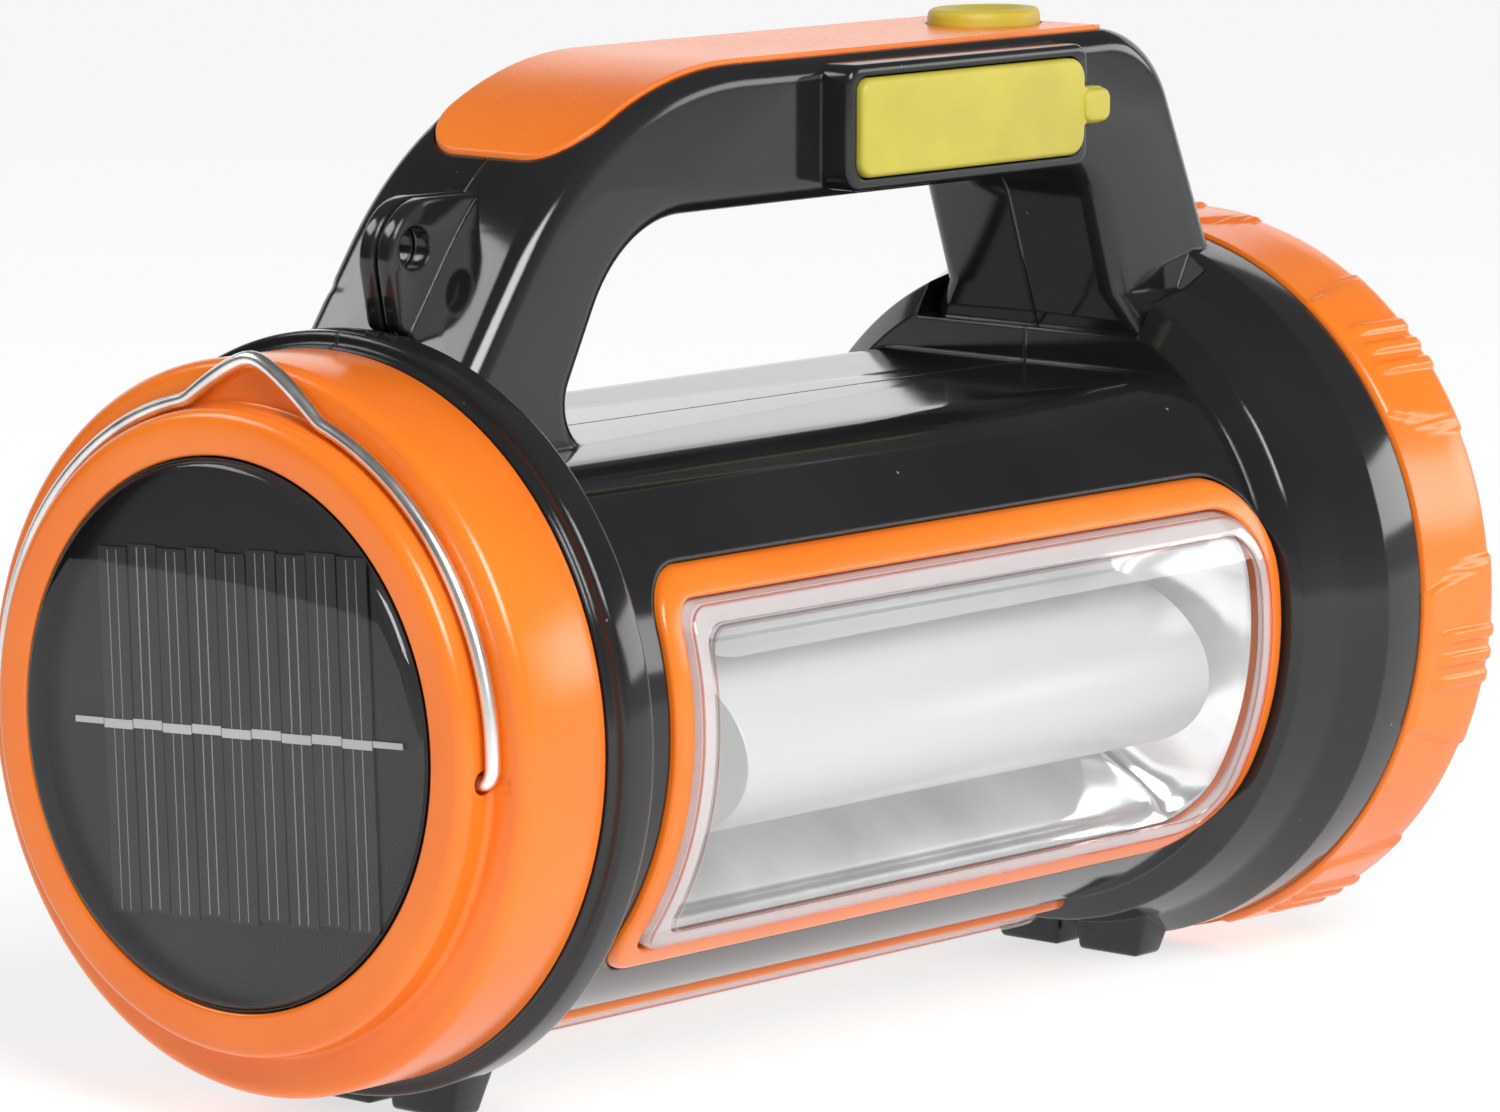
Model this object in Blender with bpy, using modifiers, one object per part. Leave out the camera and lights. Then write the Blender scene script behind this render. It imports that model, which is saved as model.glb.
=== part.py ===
"""Rechargeable searchlight with a carrying handle, lantern windows and a solar rear cap.

Frame: +X is the beam, +Z is up, +Y is the left side. The origin lies on the surface
that the lamp stands on, under the middle of its length. Sizes are in metres.
"""
import math

import bmesh
import bpy
from mathutils import Matrix, Vector

MM = 0.001
GAP = 0.3 * MM                       # clearance between touching pieces

# ---- Barrel and the stations along its axis ------------------------------------
WALL = 2.4 * MM                      # housing wall
BARREL_RADIUS = 46.0 * MM
DECK_HEIGHT = BARREL_RADIUS - 11.0 * MM   # flat deck under the grip, above the axis
DECK_FILLET = 14.0 * MM              # rounding between the deck and the round sides
FLANGE_RADIUS = BARREL_RADIUS + 6.2 * MM
HEAD_RADIUS = BARREL_RADIUS + 8.0 * MM
FLARE_RADIUS = BARREL_RADIUS + 3.4 * MM   # where the head's cone starts
BEZEL_RADIUS = HEAD_RADIUS + 0.4 * MM
RIB_RISE = 0.8 * MM                  # grip ribs on the bezel
FLOOR_CLEARANCE = 0.3 * MM           # between the lowest rib and the standing surface
AXIS_HEIGHT = BEZEL_RADIUS + RIB_RISE + FLOOR_CLEARANCE

DOME_RISE = 3.2 * MM                 # solar dome above the cap's face
CAP_DEPTH = 20.8 * MM                # cap's face to the rear flange
FLANGE_LENGTH = 7.5 * MM
BARREL_LENGTH = 144.5 * MM           # between the rear flange and the head's cone
FLARE_LENGTH = 15.0 * MM
BAND_LENGTH = 9.4 * MM
BEZEL_LENGTH = 17.1 * MM

FULL_LENGTH = (DOME_RISE + CAP_DEPTH + FLANGE_LENGTH + BARREL_LENGTH
               + FLARE_LENGTH + BAND_LENGTH + BEZEL_LENGTH)
X_FACE = -FULL_LENGTH / 2 + DOME_RISE
X_FLANGE = X_FACE + CAP_DEPTH
X_BARREL = X_FLANGE + FLANGE_LENGTH
X_FLARE = X_BARREL + BARREL_LENGTH
X_BAND = X_FLARE + FLARE_LENGTH
X_BEZEL = X_BAND + BAND_LENGTH
X_FRONT = X_BEZEL + BEZEL_LENGTH

# ---- Carrying handle -----------------------------------------------------------
HANDLE_HALF_WIDTH = 17.0 * MM
HANDLE_ROUNDING = 3.6 * MM
FINGER_ROOM = 30.0 * MM              # from the deck up to the grip
GRIP_THICKNESS = 20.4 * MM           # from the finger gap up to the top
HANDLE_TOP = DECK_HEIGHT + FINGER_ROOM + GRIP_THICKNESS
LEG_ROOT = DECK_HEIGHT - 5.0 * MM    # where the legs end inside the barrel
REAR_LEG_X = X_FLANGE - 2.3 * MM     # rear face of the rear leg at LEG_ROOT
REAR_LEG_LEAN = math.radians(54.8)   # slope of the rear face above the horizontal
REAR_ARC = 56.0 * MM
FRONT_LEG_X = X_BEZEL + 7.0 * MM     # front face of the front leg at LEG_ROOT
FRONT_LEG_LEAN = math.radians(65.7)
FRONT_ARC = 17.7 * MM
GAP_REAR_X = X_BARREL + 19.2 * MM    # finger gap, rear lower corner
GAP_REAR_LEAN = math.radians(62.7)
GAP_REAR_ARC = 21.3 * MM
GAP_FRONT_X = X_FLARE + 10.7 * MM    # finger gap, front lower corner
GAP_FRONT_LEAN = math.radians(57.6)
GAP_FRONT_ARC = 8.0 * MM
GAP_CORNER_ARC = (6.0 * MM, 3.0 * MM)
GAP_HALF_WIDTH = 26.0 * MM           # how far the finger gap cuts into the head's cone
TROUGH_HALF_WIDTH = HANDLE_HALF_WIDTH - 4.8 * MM   # hollow for the switch and sockets
TROUGH_FLOOR = 3.2 * MM              # plastic left under that hollow
TROUGH_REAR_X = GAP_REAR_X + 30.0 * MM

# ---- Orange grip strip and the button ------------------------------------------
STRIP_HALF_WIDTH = HANDLE_HALF_WIDTH - 2.6 * MM
STRIP_THICKNESS = 2.2 * MM
STRIP_CORNER = 8.0 * MM
STRIP_REAR_X = REAR_LEG_X + 34.0 * MM
STRIP_FRONT_X = X_FLARE - 0.4 * MM
BUTTON_X = STRIP_FRONT_X - 12.5 * MM
BUTTON_SIZE = (19.0 * MM, 15.4 * MM)
BUTTON_RISE = 2.6 * MM
BUTTON_CLEARANCE = 0.4 * MM
BUTTON_SKIRT = 5.0 * MM
TROUGH_FRONT_X = BUTTON_X + BUTTON_SIZE[0] / 2 + 1.0 * MM

# ---- Socket block on the right side of the grip --------------------------------
BLOCK_LENGTH = 54.0 * MM
BLOCK_HEIGHT = 17.8 * MM
BLOCK_DEPTH = 5.2 * MM               # outside the handle's side
BLOCK_X = BUTTON_X - 30.1 * MM       # middle of the block
BLOCK_BELOW_TOP = 10.1 * MM          # middle of the block under the grip's top
BLOCK_RIM = 1.9 * MM
COVER_THICKNESS = 2.6 * MM
COVER_SEAT = 1.5 * MM                # depth of the cover's seat in the block
COVER_TAB = (5.0 * MM, 5.4 * MM)
USB_SIZE = (13.2 * MM, 5.8 * MM, 11.0 * MM)
JACK_RADIUS = 3.6 * MM
JACK_LENGTH = 9.0 * MM
SOCKET_SPACING = 22.0 * MM

# ---- Lug for a strap, on the rear leg --------------------------------------------
LUG_CENTRE = (X_FLANGE + 13.6 * MM, HANDLE_TOP - 22.6 * MM)
LUG_RADIUS = 6.6 * MM
LUG_HOLE_RADIUS = 3.0 * MM
LUG_HALF_WIDTH = 3.0 * MM

# ---- Lantern windows -------------------------------------------------------------
WINDOW_TILT = math.radians(99.5)     # side windows look sideways and a little down
WINDOW_REAR_X = X_BARREL + 10.0 * MM
WINDOW_FRONT_X = X_FLARE - 0.6 * MM
SIDE_HALF_WIDTH = 0.617 * BARREL_RADIUS
BELLY_HALF_WIDTH = 0.296 * BARREL_RADIUS
REAR_CORNER = 5.5 * MM
FRONT_CORNER = 13.0 * MM
FRAME_BORDER = 3.7 * MM
FRAME_OUTER_RADIUS = BARREL_RADIUS + 1.0 * MM
FRAME_INNER_RADIUS = BARREL_RADIUS - WALL + 0.4 * MM
LENS_OUTER_RADIUS = FRAME_OUTER_RADIUS + 1.8 * MM
LENS_WALL = 1.4 * MM
PAN_WALL = 1.2 * MM
PAN_RIM_RADIUS = BARREL_RADIUS - 8.0 * MM   # distance of the pan's open side from the axis
SIDE_PAN_DEPTH = 11.0 * MM
BELLY_PAN_DEPTH = 7.0 * MM
SIDE_PAN_SLOPE = 0.62                # inward lean of a pan's walls per unit of depth
BELLY_PAN_SLOPE = 0.25
DIFFUSER_WALL = 1.3 * MM
BOARD_THICKNESS = 1.6 * MM

# ---- Rear cap and the solar unit -------------------------------------------------
CAP_RADIUS = FLANGE_RADIUS - 2.2 * MM
CAP_WALL = 2.5 * MM
CAP_MOUTH_RADIUS = CAP_RADIUS - 12.6 * MM
LIP_RADIUS = CAP_RADIUS - 6.3 * MM   # also the floor of the bail's groove
LIP_ROUNDING = 1.5 * MM
GROOVE_X = X_FACE + 5.2 * MM         # front wall of the bail's groove
SHOULDER_ROUNDING = 1.8 * MM
SEAT_DEPTH = 4.6 * MM                # solar unit's seat behind the cap's face
SEAT_THICKNESS = 2.4 * MM
SEAT_WIDTH = 3.0 * MM
SOLAR_BASE = 1.0 * MM
SOLAR_CELL_MARGIN = 2.0 * MM         # from the cell's corners to the dome's side
SOLAR_CELL_SIZE = math.sqrt(2) * (CAP_MOUTH_RADIUS - SOLAR_CELL_MARGIN)
SOLAR_CELL_THICKNESS = 0.4 * MM
SOLAR_CELL_TURN = math.radians(3.5)
DOME_EDGE_ROUNDING = 3.4 * MM
NECK_LENGTH = 9.0 * MM
NECK_RADIUS = CAP_RADIUS - CAP_WALL - 0.4 * MM

# ---- Wire bail --------------------------------------------------------------------
WIRE_RADIUS = 1.05 * MM
BAIL_RADIUS = LIP_RADIUS + WIRE_RADIUS + 0.45 * MM
BAIL_X = GROOVE_X - WIRE_RADIUS - 0.45 * MM
PIVOT_DROP = 1.8 * MM                # pivot below the axis
PIN_LENGTH = 3.4 * MM
PIN_CLEARANCE = 0.35 * MM
HOOK_RISE = 5.2 * MM
HOOK_HALF_WIDTH = 13.0 * MM

# ---- Head ---------------------------------------------------------------------------
BEZEL_WALL = 2.6 * MM
BEZEL_LIP = 5.5 * MM                 # how far the front lip covers the lens
RIB_WIDTH = 1.8 * MM
RIB_GROUPS = 7
RIBS_PER_GROUP = 3
RIB_PITCH = math.radians(3.6)
RIB_PHASE = math.radians(47.3)       # first group's middle, from the top
FRONT_LENS_THICKNESS = 2.4 * MM
GASKET_THICKNESS = 1.6 * MM
REFLECTOR_DEPTH = 30.0 * MM
THROAT_RADIUS = 7.5 * MM
SINK_RADIUS = 17.0 * MM
SINK_LENGTH = 10.0 * MM
SINK_FINS = 4

# ---- Battery pack, boards, feet and screws -------------------------------------------
CELL_RADIUS = 9.1 * MM
CELL_LENGTH = 65.0 * MM
CELL_SPACING = 19.6 * MM
CELL_X = X_BARREL + 62.0 * MM
CELL_DROP = 5.0 * MM
TRAY_WALL = 1.6 * MM
CONTROL_BOARD = (82.0 * MM, 34.0 * MM)
FOOT_LENGTH = 9.0 * MM
FOOT_SPAN = (1.2 * MM, 15.0 * MM)    # from the parting plane outwards
SCREW_HEAD_RADIUS = 2.9 * MM
SCREW_HEAD_HEIGHT = 2.0 * MM
SCREW_RADIUS = 1.4 * MM
SCREW_DEPTH = 2.6 * MM               # screw head below the surface
SCREW_REACH = 10.0 * MM              # shank past the parting plane

ROUND_STEPS = 36
FINE_STEPS = 40

BLACK = (0.012, 0.012, 0.013)
ORANGE = (0.93, 0.26, 0.035)
YELLOW = (0.75, 0.66, 0.09)
CHROME = (0.86, 0.87, 0.88)
CLEAR = (0.92, 0.93, 0.94)
WHITE = (0.85, 0.86, 0.84)
GREEN = (0.02, 0.16, 0.06)
STEEL = (0.62, 0.62, 0.62)


# ---- Scene, materials and object helpers ---------------------------------------------
def empty_scene():
    for old in list(bpy.data.objects):
        bpy.data.objects.remove(old, do_unlink=True)


def new_collection(name):
    collection = bpy.data.collections.new(name)
    bpy.context.scene.collection.children.link(collection)
    return collection


empty_scene()
PARTS = new_collection("searchlight")
CUTTERS = new_collection("cutters")


def paint(name, color, roughness, metallic=0.0):
    material = bpy.data.materials.new(name)
    material.use_nodes = True
    shader = material.node_tree.nodes["Principled BSDF"]
    shader.inputs["Base Color"].default_value = (*color, 1.0)
    shader.inputs["Roughness"].default_value = roughness
    shader.inputs["Metallic"].default_value = metallic
    return material


def place(name, mesh, location=(0, 0, 0), rotation=(0, 0, 0)):
    """Put a mesh in the scene as a tool for cutting or joining."""
    piece = bpy.data.objects.new(name, mesh)
    piece.location = location
    piece.rotation_euler = rotation
    piece.hide_render = True
    piece.display_type = "WIRE"
    CUTTERS.objects.link(piece)
    return piece


def finish(piece, name, color, roughness, metallic=0.0):
    """Make a tool into a named part with its own material and smooth round faces."""
    CUTTERS.objects.unlink(piece)
    PARTS.objects.link(piece)
    piece.name = name
    piece.hide_render = False
    piece.display_type = "TEXTURED"
    piece.data.materials.clear()
    piece.data.materials.append(paint(name, color, roughness, metallic))
    piece.data.shade_smooth()
    piece.data.set_sharp_from_angle(angle=math.radians(35))
    return piece


def set_origin(piece, point):
    """Move a part's origin to a point on its joint's axis, without moving the part."""
    turn = piece.rotation_euler.to_matrix().inverted()
    piece.data.transform(Matrix.Translation(turn @ (piece.location - Vector(point))))
    piece.location = point


def combine(piece, tool, operation, solver="EXACT"):
    modifier = piece.modifiers.new(operation.title(), "BOOLEAN")
    modifier.operation = operation
    modifier.solver = solver
    modifier.object = tool
    return piece


def cut(piece, *tools, solver="EXACT"):
    for tool in tools:
        combine(piece, tool, "DIFFERENCE", solver)
    return piece


def join(piece, *tools, solver="EXACT"):
    for tool in tools:
        combine(piece, tool, "UNION", solver)
    return piece


def common(piece, *tools):
    for tool in tools:
        combine(piece, tool, "INTERSECT")
    return piece


def as_mesh(source, name):
    """Turn a curve or a modified object into a clean closed mesh."""
    bpy.context.view_layer.update()
    graph = bpy.context.evaluated_depsgraph_get()
    mesh = bpy.data.meshes.new_from_object(source.evaluated_get(graph))
    mesh.name = name
    data = source.data
    bpy.data.objects.remove(source, do_unlink=True)
    if isinstance(data, bpy.types.Curve):
        bpy.data.curves.remove(data)
    shape = bmesh.new()
    shape.from_mesh(mesh)
    bmesh.ops.remove_doubles(shape, verts=shape.verts, dist=0.000005)
    bmesh.ops.recalc_face_normals(shape, faces=shape.faces)
    shape.to_mesh(mesh)
    shape.free()
    return mesh


def box(name, low, high, bevel=0.0):
    """A box between two corners, with rounded edges where a bevel is given."""
    shape = bmesh.new()
    bmesh.ops.create_cube(shape, size=1.0)
    size = Vector(high) - Vector(low)
    middle = (Vector(high) + Vector(low)) / 2
    bmesh.ops.transform(shape, matrix=Matrix.Diagonal((*size, 1.0)), verts=shape.verts)
    if bevel:
        bmesh.ops.bevel(shape, geom=shape.edges, offset=bevel, segments=2,
                        profile=0.5, affect="EDGES")
    mesh = bpy.data.meshes.new(name)
    shape.to_mesh(mesh)
    shape.free()
    return place(name, mesh, middle)


def rod(name, start, end, radius, steps=20):
    """A solid cylinder from one point to another."""
    start, end = Vector(start), Vector(end)
    shape = bmesh.new()
    bmesh.ops.create_cone(shape, cap_ends=True, segments=steps, radius1=radius,
                          radius2=radius, depth=(end - start).length)
    mesh = bpy.data.meshes.new(name)
    shape.to_mesh(mesh)
    shape.free()
    turn = (end - start).to_track_quat("Z", "Y").to_euler()
    return place(name, mesh, (start + end) / 2, turn)


def turned(name, profile, steps=ROUND_STEPS):
    """A profile of (x, radius) points turned about the barrel axis, which is closed."""
    mesh = bpy.data.meshes.new(name)
    count = len(profile)
    closed = profile[0][1] > 0 or profile[-1][1] > 0
    edges = [(i, i + 1) for i in range(count - 1)]
    if closed:
        edges.append((count - 1, 0))
    mesh.from_pydata([(radius, 0, x) for x, radius in profile], edges, [])
    spun = place(name, mesh)
    screw = spun.modifiers.new("Turn", "SCREW")
    screw.axis = "Z"
    screw.steps = steps
    screw.render_steps = steps
    screw.use_merge_vertices = True
    screw.merge_threshold = 0.00001
    return place(name, as_mesh(spun, name), (0, 0, AXIS_HEIGHT), (0, math.pi / 2, 0))


def arc(centre, radius, start, stop, steps):
    """Points on an arc, from one angle to another, in degrees."""
    points = []
    for i in range(steps + 1):
        angle = math.radians(start + (stop - start) * i / steps)
        points.append((centre[0] + radius * math.cos(angle),
                       centre[1] + radius * math.sin(angle)))
    return points


def rounded(corners, steps=6):
    """A closed outline through (x, y, rounding) corners, with an arc at each."""
    outline = []
    for i, (x, y, rounding) in enumerate(corners):
        corner = Vector((x, y))
        before = (Vector(corners[i - 1][:2]) - corner).normalized()
        after = (Vector(corners[(i + 1) % len(corners)][:2]) - corner).normalized()
        if rounding == 0:
            outline.append((x, y))
            continue
        half = before.angle(after) / 2
        centre = corner + (before + after).normalized() * rounding / math.sin(half)
        first = corner + before * rounding / math.tan(half) - centre
        last = corner + after * rounding / math.tan(half) - centre
        turn = first.angle_signed(last)
        for k in range(steps + 1):
            point = centre + Matrix.Rotation(-turn * k / steps, 2) @ first
            outline.append((point.x, point.y))
    return outline


def plate(name, outlines, half_thickness, rounding=0.0, inset=0.0, rotation=(0, 0, 0),
          location=(0, 0, 0)):
    """Flat outlines given a thickness both ways, with rounded rims."""
    curve = bpy.data.curves.new(name, "CURVE")
    curve.dimensions = "2D"
    curve.fill_mode = "BOTH"
    curve.extrude = half_thickness - rounding
    curve.bevel_depth = rounding
    curve.bevel_resolution = 1
    curve.offset = -rounding - inset
    for outline in outlines:
        spline = curve.splines.new("POLY")
        spline.points.add(len(outline) - 1)
        for point, (x, y) in zip(spline.points, outline):
            point.co = (x, y, 0, 1)
        spline.use_cyclic_u = True
    drawn = bpy.data.objects.new(name, curve)
    CUTTERS.objects.link(drawn)
    return place(name, as_mesh(drawn, name), location, rotation)


UPRIGHT = (math.pi / 2, 0, 0)        # a plate's outline drawn as (x, height)
AXIS = (0, 0, AXIS_HEIGHT)


def above(height):
    """World height of a point given above the barrel's axis."""
    return AXIS_HEIGHT + height


# ---- Housing: two half shells that meet on the middle plane ---------------------------
def barrel_section(inset):
    """The barrel's cross-section as (y, z) points: a circle with a flat deck on top."""
    radius = BARREL_RADIUS - inset
    deck = DECK_HEIGHT - inset
    fillet = DECK_FILLET - inset
    middle_y = math.sqrt((radius - fillet) ** 2 - (deck - fillet) ** 2)
    tangent = math.degrees(math.atan2(deck - fillet, middle_y))
    right = arc((middle_y, deck - fillet), fillet, tangent, 90, 4)
    left = arc((-middle_y, deck - fillet), fillet, 90, 180 - tangent, 4)
    round_part = arc((0, 0), radius, 180 - tangent, 360 + tangent, ROUND_STEPS - 12)
    return right + left + round_part[1:-1]


def barrel(name, inset, rear_x, front_x):
    """The barrel's section drawn out along X; its outline's first axis is world Y."""
    return plate(name, [barrel_section(inset)], (front_x - rear_x) / 2,
                 rotation=(math.pi / 2, 0, math.pi / 2),
                 location=((rear_x + front_x) / 2, 0, AXIS_HEIGHT))


def handle_outline():
    """Side view of the whole handle as (x, height above the axis) corners."""
    rise = HANDLE_TOP - LEG_ROOT
    rear_top = REAR_LEG_X + rise / math.tan(REAR_LEG_LEAN)
    front_top = FRONT_LEG_X - rise / math.tan(FRONT_LEG_LEAN)
    return [(REAR_LEG_X, LEG_ROOT, 0), (FRONT_LEG_X, LEG_ROOT, 0),
            (front_top, HANDLE_TOP, FRONT_ARC), (rear_top, HANDLE_TOP, REAR_ARC)]


def finger_gap_outline(bottom):
    """Side view of the gap between the grip and the deck, down to the given height."""
    top = HANDLE_TOP - GRIP_THICKNESS
    rise = top - DECK_HEIGHT
    corner_rear, corner_front = GAP_CORNER_ARC
    return [(GAP_REAR_X, bottom, corner_rear), (GAP_FRONT_X, bottom, corner_front),
            (GAP_FRONT_X - rise / math.tan(GAP_FRONT_LEAN), top, GAP_FRONT_ARC),
            (GAP_REAR_X + rise / math.tan(GAP_REAR_LEAN), top, GAP_REAR_ARC)]


def handle_solid():
    return plate("handle", [rounded(handle_outline(), 8),
                            rounded(finger_gap_outline(DECK_HEIGHT), 5)],
                 HANDLE_HALF_WIDTH, HANDLE_ROUNDING, rotation=UPRIGHT, location=AXIS)


def flange_solid():
    edge = 1.0 * MM
    return turned("rear flange", [
        (X_BARREL + 3 * MM, 0), (X_BARREL + 3 * MM, BARREL_RADIUS - 0.5 * MM),
        (X_BARREL, BARREL_RADIUS - 0.5 * MM), (X_BARREL, FLANGE_RADIUS - edge),
        (X_BARREL - edge, FLANGE_RADIUS), (X_FLANGE + GAP + edge, FLANGE_RADIUS),
        (X_FLANGE + GAP, FLANGE_RADIUS - edge), (X_FLANGE + GAP, NECK_RADIUS),
        (X_FLANGE - NECK_LENGTH, NECK_RADIUS), (X_FLANGE - NECK_LENGTH, 0)])


def head_solid():
    edge = 0.8 * MM
    neck = X_BEZEL + BEZEL_LENGTH - BEZEL_WALL - FRONT_LENS_THICKNESS - GASKET_THICKNESS
    return turned("head", [
        (neck - 3 * GAP, 0), (neck - 3 * GAP, bezel_bore() - 0.4 * MM),
        (X_BEZEL, bezel_bore() - 0.4 * MM), (X_BEZEL, HEAD_RADIUS - edge),
        (X_BEZEL - edge, HEAD_RADIUS), (X_BAND + edge, HEAD_RADIUS),
        (X_BAND, HEAD_RADIUS - edge), (X_FLARE + 1.6 * MM, FLARE_RADIUS),
        (X_FLARE - 0.6 * MM, FLARE_RADIUS - 1.2 * MM),
        (X_FLARE - 2.2 * MM, BARREL_RADIUS - 0.4 * MM), (X_FLARE - 4 * MM, 0)])


def bezel_bore():
    return BEZEL_RADIUS - BEZEL_WALL


def housing_hollow():
    """Everything inside the shells: barrel, rear neck and the head's cone."""
    inner = barrel("barrel hollow", WALL, X_BARREL + 1 * MM, X_FLARE + 2 * MM)
    bore = NECK_RADIUS - WALL
    rear = turned("neck hollow", [
        (X_BARREL + 2 * MM, 0), (X_BARREL + 2 * MM, DECK_HEIGHT - WALL - 1 * MM),
        (X_FLANGE, bore), (X_FLANGE - NECK_LENGTH - 1 * MM, bore),
        (X_FLANGE - NECK_LENGTH - 1 * MM, 0)])
    neck_bore = bezel_bore() - 0.4 * MM - WALL
    front = turned("head hollow", [
        (X_FRONT, 0), (X_FRONT, neck_bore), (X_BAND + 2 * MM, neck_bore),
        (X_FLARE + 6 * MM, DECK_HEIGHT - WALL), (X_FLARE - 2 * MM, DECK_HEIGHT - WALL - 1 * MM),
        (X_FLARE - 2 * MM, 0)])
    return [inner, rear, front]


def lug_solid():
    x, height = LUG_CENTRE
    outline = rounded([
        (x - LUG_RADIUS, height + LUG_RADIUS, LUG_RADIUS - 0.2 * MM),
        (x - LUG_RADIUS + 2.2 * MM, height - 12 * MM, 2 * MM),
        (x + 4 * MM, height - 8 * MM, 0), (x + 14 * MM, height, 0),
        (x + 14 * MM, height + LUG_RADIUS, 0)])
    return plate("lug", [outline], LUG_HALF_WIDTH, 0.5 * MM, rotation=UPRIGHT, location=AXIS)


def foot(name, side, middle_x):
    low, high = sorted(side * y for y in FOOT_SPAN)
    return box(name, (middle_x - FOOT_LENGTH / 2, low, 0),
               (middle_x + FOOT_LENGTH / 2, high, 14 * MM), 0.6 * MM)


def socket_block():
    """The rounded box on the handle's right side that frames the sockets."""
    outer = HANDLE_HALF_WIDTH + BLOCK_DEPTH
    outline = rounded([
        (BLOCK_X - BLOCK_LENGTH / 2, block_height() - BLOCK_HEIGHT / 2, 2.4 * MM),
        (BLOCK_X + BLOCK_LENGTH / 2, block_height() - BLOCK_HEIGHT / 2, 2.4 * MM),
        (BLOCK_X + BLOCK_LENGTH / 2, block_height() + BLOCK_HEIGHT / 2, 2.4 * MM),
        (BLOCK_X - BLOCK_LENGTH / 2, block_height() + BLOCK_HEIGHT / 2, 2.4 * MM)], 3)
    depth = outer - TROUGH_HALF_WIDTH - 1 * MM
    return plate("socket block", [outline], depth / 2, 0.8 * MM, rotation=UPRIGHT,
                 location=(0, -(outer - depth / 2), AXIS_HEIGHT))


def block_height():
    return HANDLE_TOP - BLOCK_BELOW_TOP


def cover_outline(grow):
    """Side view of the socket cover, grown all round by the given amount."""
    half_x = BLOCK_LENGTH / 2 - BLOCK_RIM + grow
    half_z = BLOCK_HEIGHT / 2 - BLOCK_RIM + grow
    low, high = block_height() - half_z, block_height() + half_z
    tab_length, tab_height = COVER_TAB
    tab_low = block_height() - tab_height / 2 - grow
    tab_high = block_height() + tab_height / 2 + grow
    tab_x = BLOCK_X + half_x + tab_length
    corner = 2.2 * MM
    return rounded([
        (BLOCK_X - half_x, low, corner), (BLOCK_X + half_x, low, corner),
        (BLOCK_X + half_x, tab_low, 0), (tab_x, tab_low, 1.2 * MM),
        (tab_x, tab_high, 1.2 * MM), (BLOCK_X + half_x, tab_high, 0),
        (BLOCK_X + half_x, high, corner), (BLOCK_X - half_x, high, corner)], 3)


def cover_seat():
    """Where the cover lies in the block, open to the outside."""
    outer = HANDLE_HALF_WIDTH + BLOCK_DEPTH
    return plate("cover seat", [cover_outline(GAP)], COVER_SEAT + GAP, rotation=UPRIGHT,
                 location=(0, -outer, AXIS_HEIGHT))


def usb_place():
    return BLOCK_X - SOCKET_SPACING / 2


def jack_place():
    return BLOCK_X + SOCKET_SPACING / 2


def socket_openings():
    """Bores from the cover's seat into the grip's hollow, one for each socket."""
    width, height, _ = USB_SIZE
    seat = -(HANDLE_HALF_WIDTH + BLOCK_DEPTH - COVER_SEAT)
    inside = -TROUGH_HALF_WIDTH + 1 * MM
    usb = box("usb opening",
              (usb_place() - width / 2 - GAP, seat - 1 * MM,
               above(block_height() - height / 2 - GAP)),
              (usb_place() + width / 2 + GAP, inside, above(block_height() + height / 2 + GAP)))
    jack = rod("jack opening", (jack_place(), seat - 1 * MM, above(block_height())),
               (jack_place(), inside, above(block_height())), JACK_RADIUS + GAP)
    return [usb, jack]


def strip_plan(name, grow):
    """Plan view of the grip strip, tall enough to cut the top of the handle."""
    half = STRIP_HALF_WIDTH + grow
    outline = rounded([
        (STRIP_REAR_X - grow, -half, STRIP_CORNER + grow),
        (STRIP_FRONT_X + grow, -half, STRIP_CORNER + grow),
        (STRIP_FRONT_X + grow, half, STRIP_CORNER + grow),
        (STRIP_REAR_X - grow, half, STRIP_CORNER + grow)], 5)
    return plate(name, [outline], 20 * MM, location=(0, 0, above(HANDLE_TOP - 3 * MM)))


def handle_core(name, inset):
    """The handle's outer side view shrunk by the given amount, wider than the handle."""
    return plate(name, [rounded(handle_outline(), 8)], HANDLE_HALF_WIDTH + 4 * MM,
                 inset=inset, rotation=UPRIGHT, location=AXIS)


def strip_seat():
    return cut(strip_plan("strip seat", GAP), handle_core("seat core", STRIP_THICKNESS + GAP))


def grip_trough():
    floor = HANDLE_TOP - GRIP_THICKNESS + TROUGH_FLOOR
    return box("grip trough", (TROUGH_REAR_X, -TROUGH_HALF_WIDTH, above(floor)),
               (TROUGH_FRONT_X, TROUGH_HALF_WIDTH, above(HANDLE_TOP + 5 * MM)))


def screw_places():
    """(x, height above the axis, y of the left surface) for each housing screw."""
    grip_low = HANDLE_TOP - GRIP_THICKNESS
    leg_side = HANDLE_HALF_WIDTH
    flange_height = -(FLANGE_RADIUS - 4.6 * MM)
    head_height = -(HEAD_RADIUS - 4.6 * MM)
    return [
        (REAR_LEG_X + 21 * MM, grip_low - 11 * MM, leg_side),
        (REAR_LEG_X + 35 * MM, grip_low + 3 * MM, leg_side),
        (FRONT_LEG_X - 20 * MM, grip_low - 9 * MM, leg_side),
        (FRONT_LEG_X - 28 * MM, grip_low + 7 * MM, leg_side),
        (X_FLANGE + FLANGE_LENGTH / 2 + GAP, flange_height,
         math.sqrt(FLANGE_RADIUS ** 2 - flange_height ** 2)),
        (X_BAND + BAND_LENGTH / 2, head_height,
         math.sqrt(HEAD_RADIUS ** 2 - head_height ** 2))]


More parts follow.
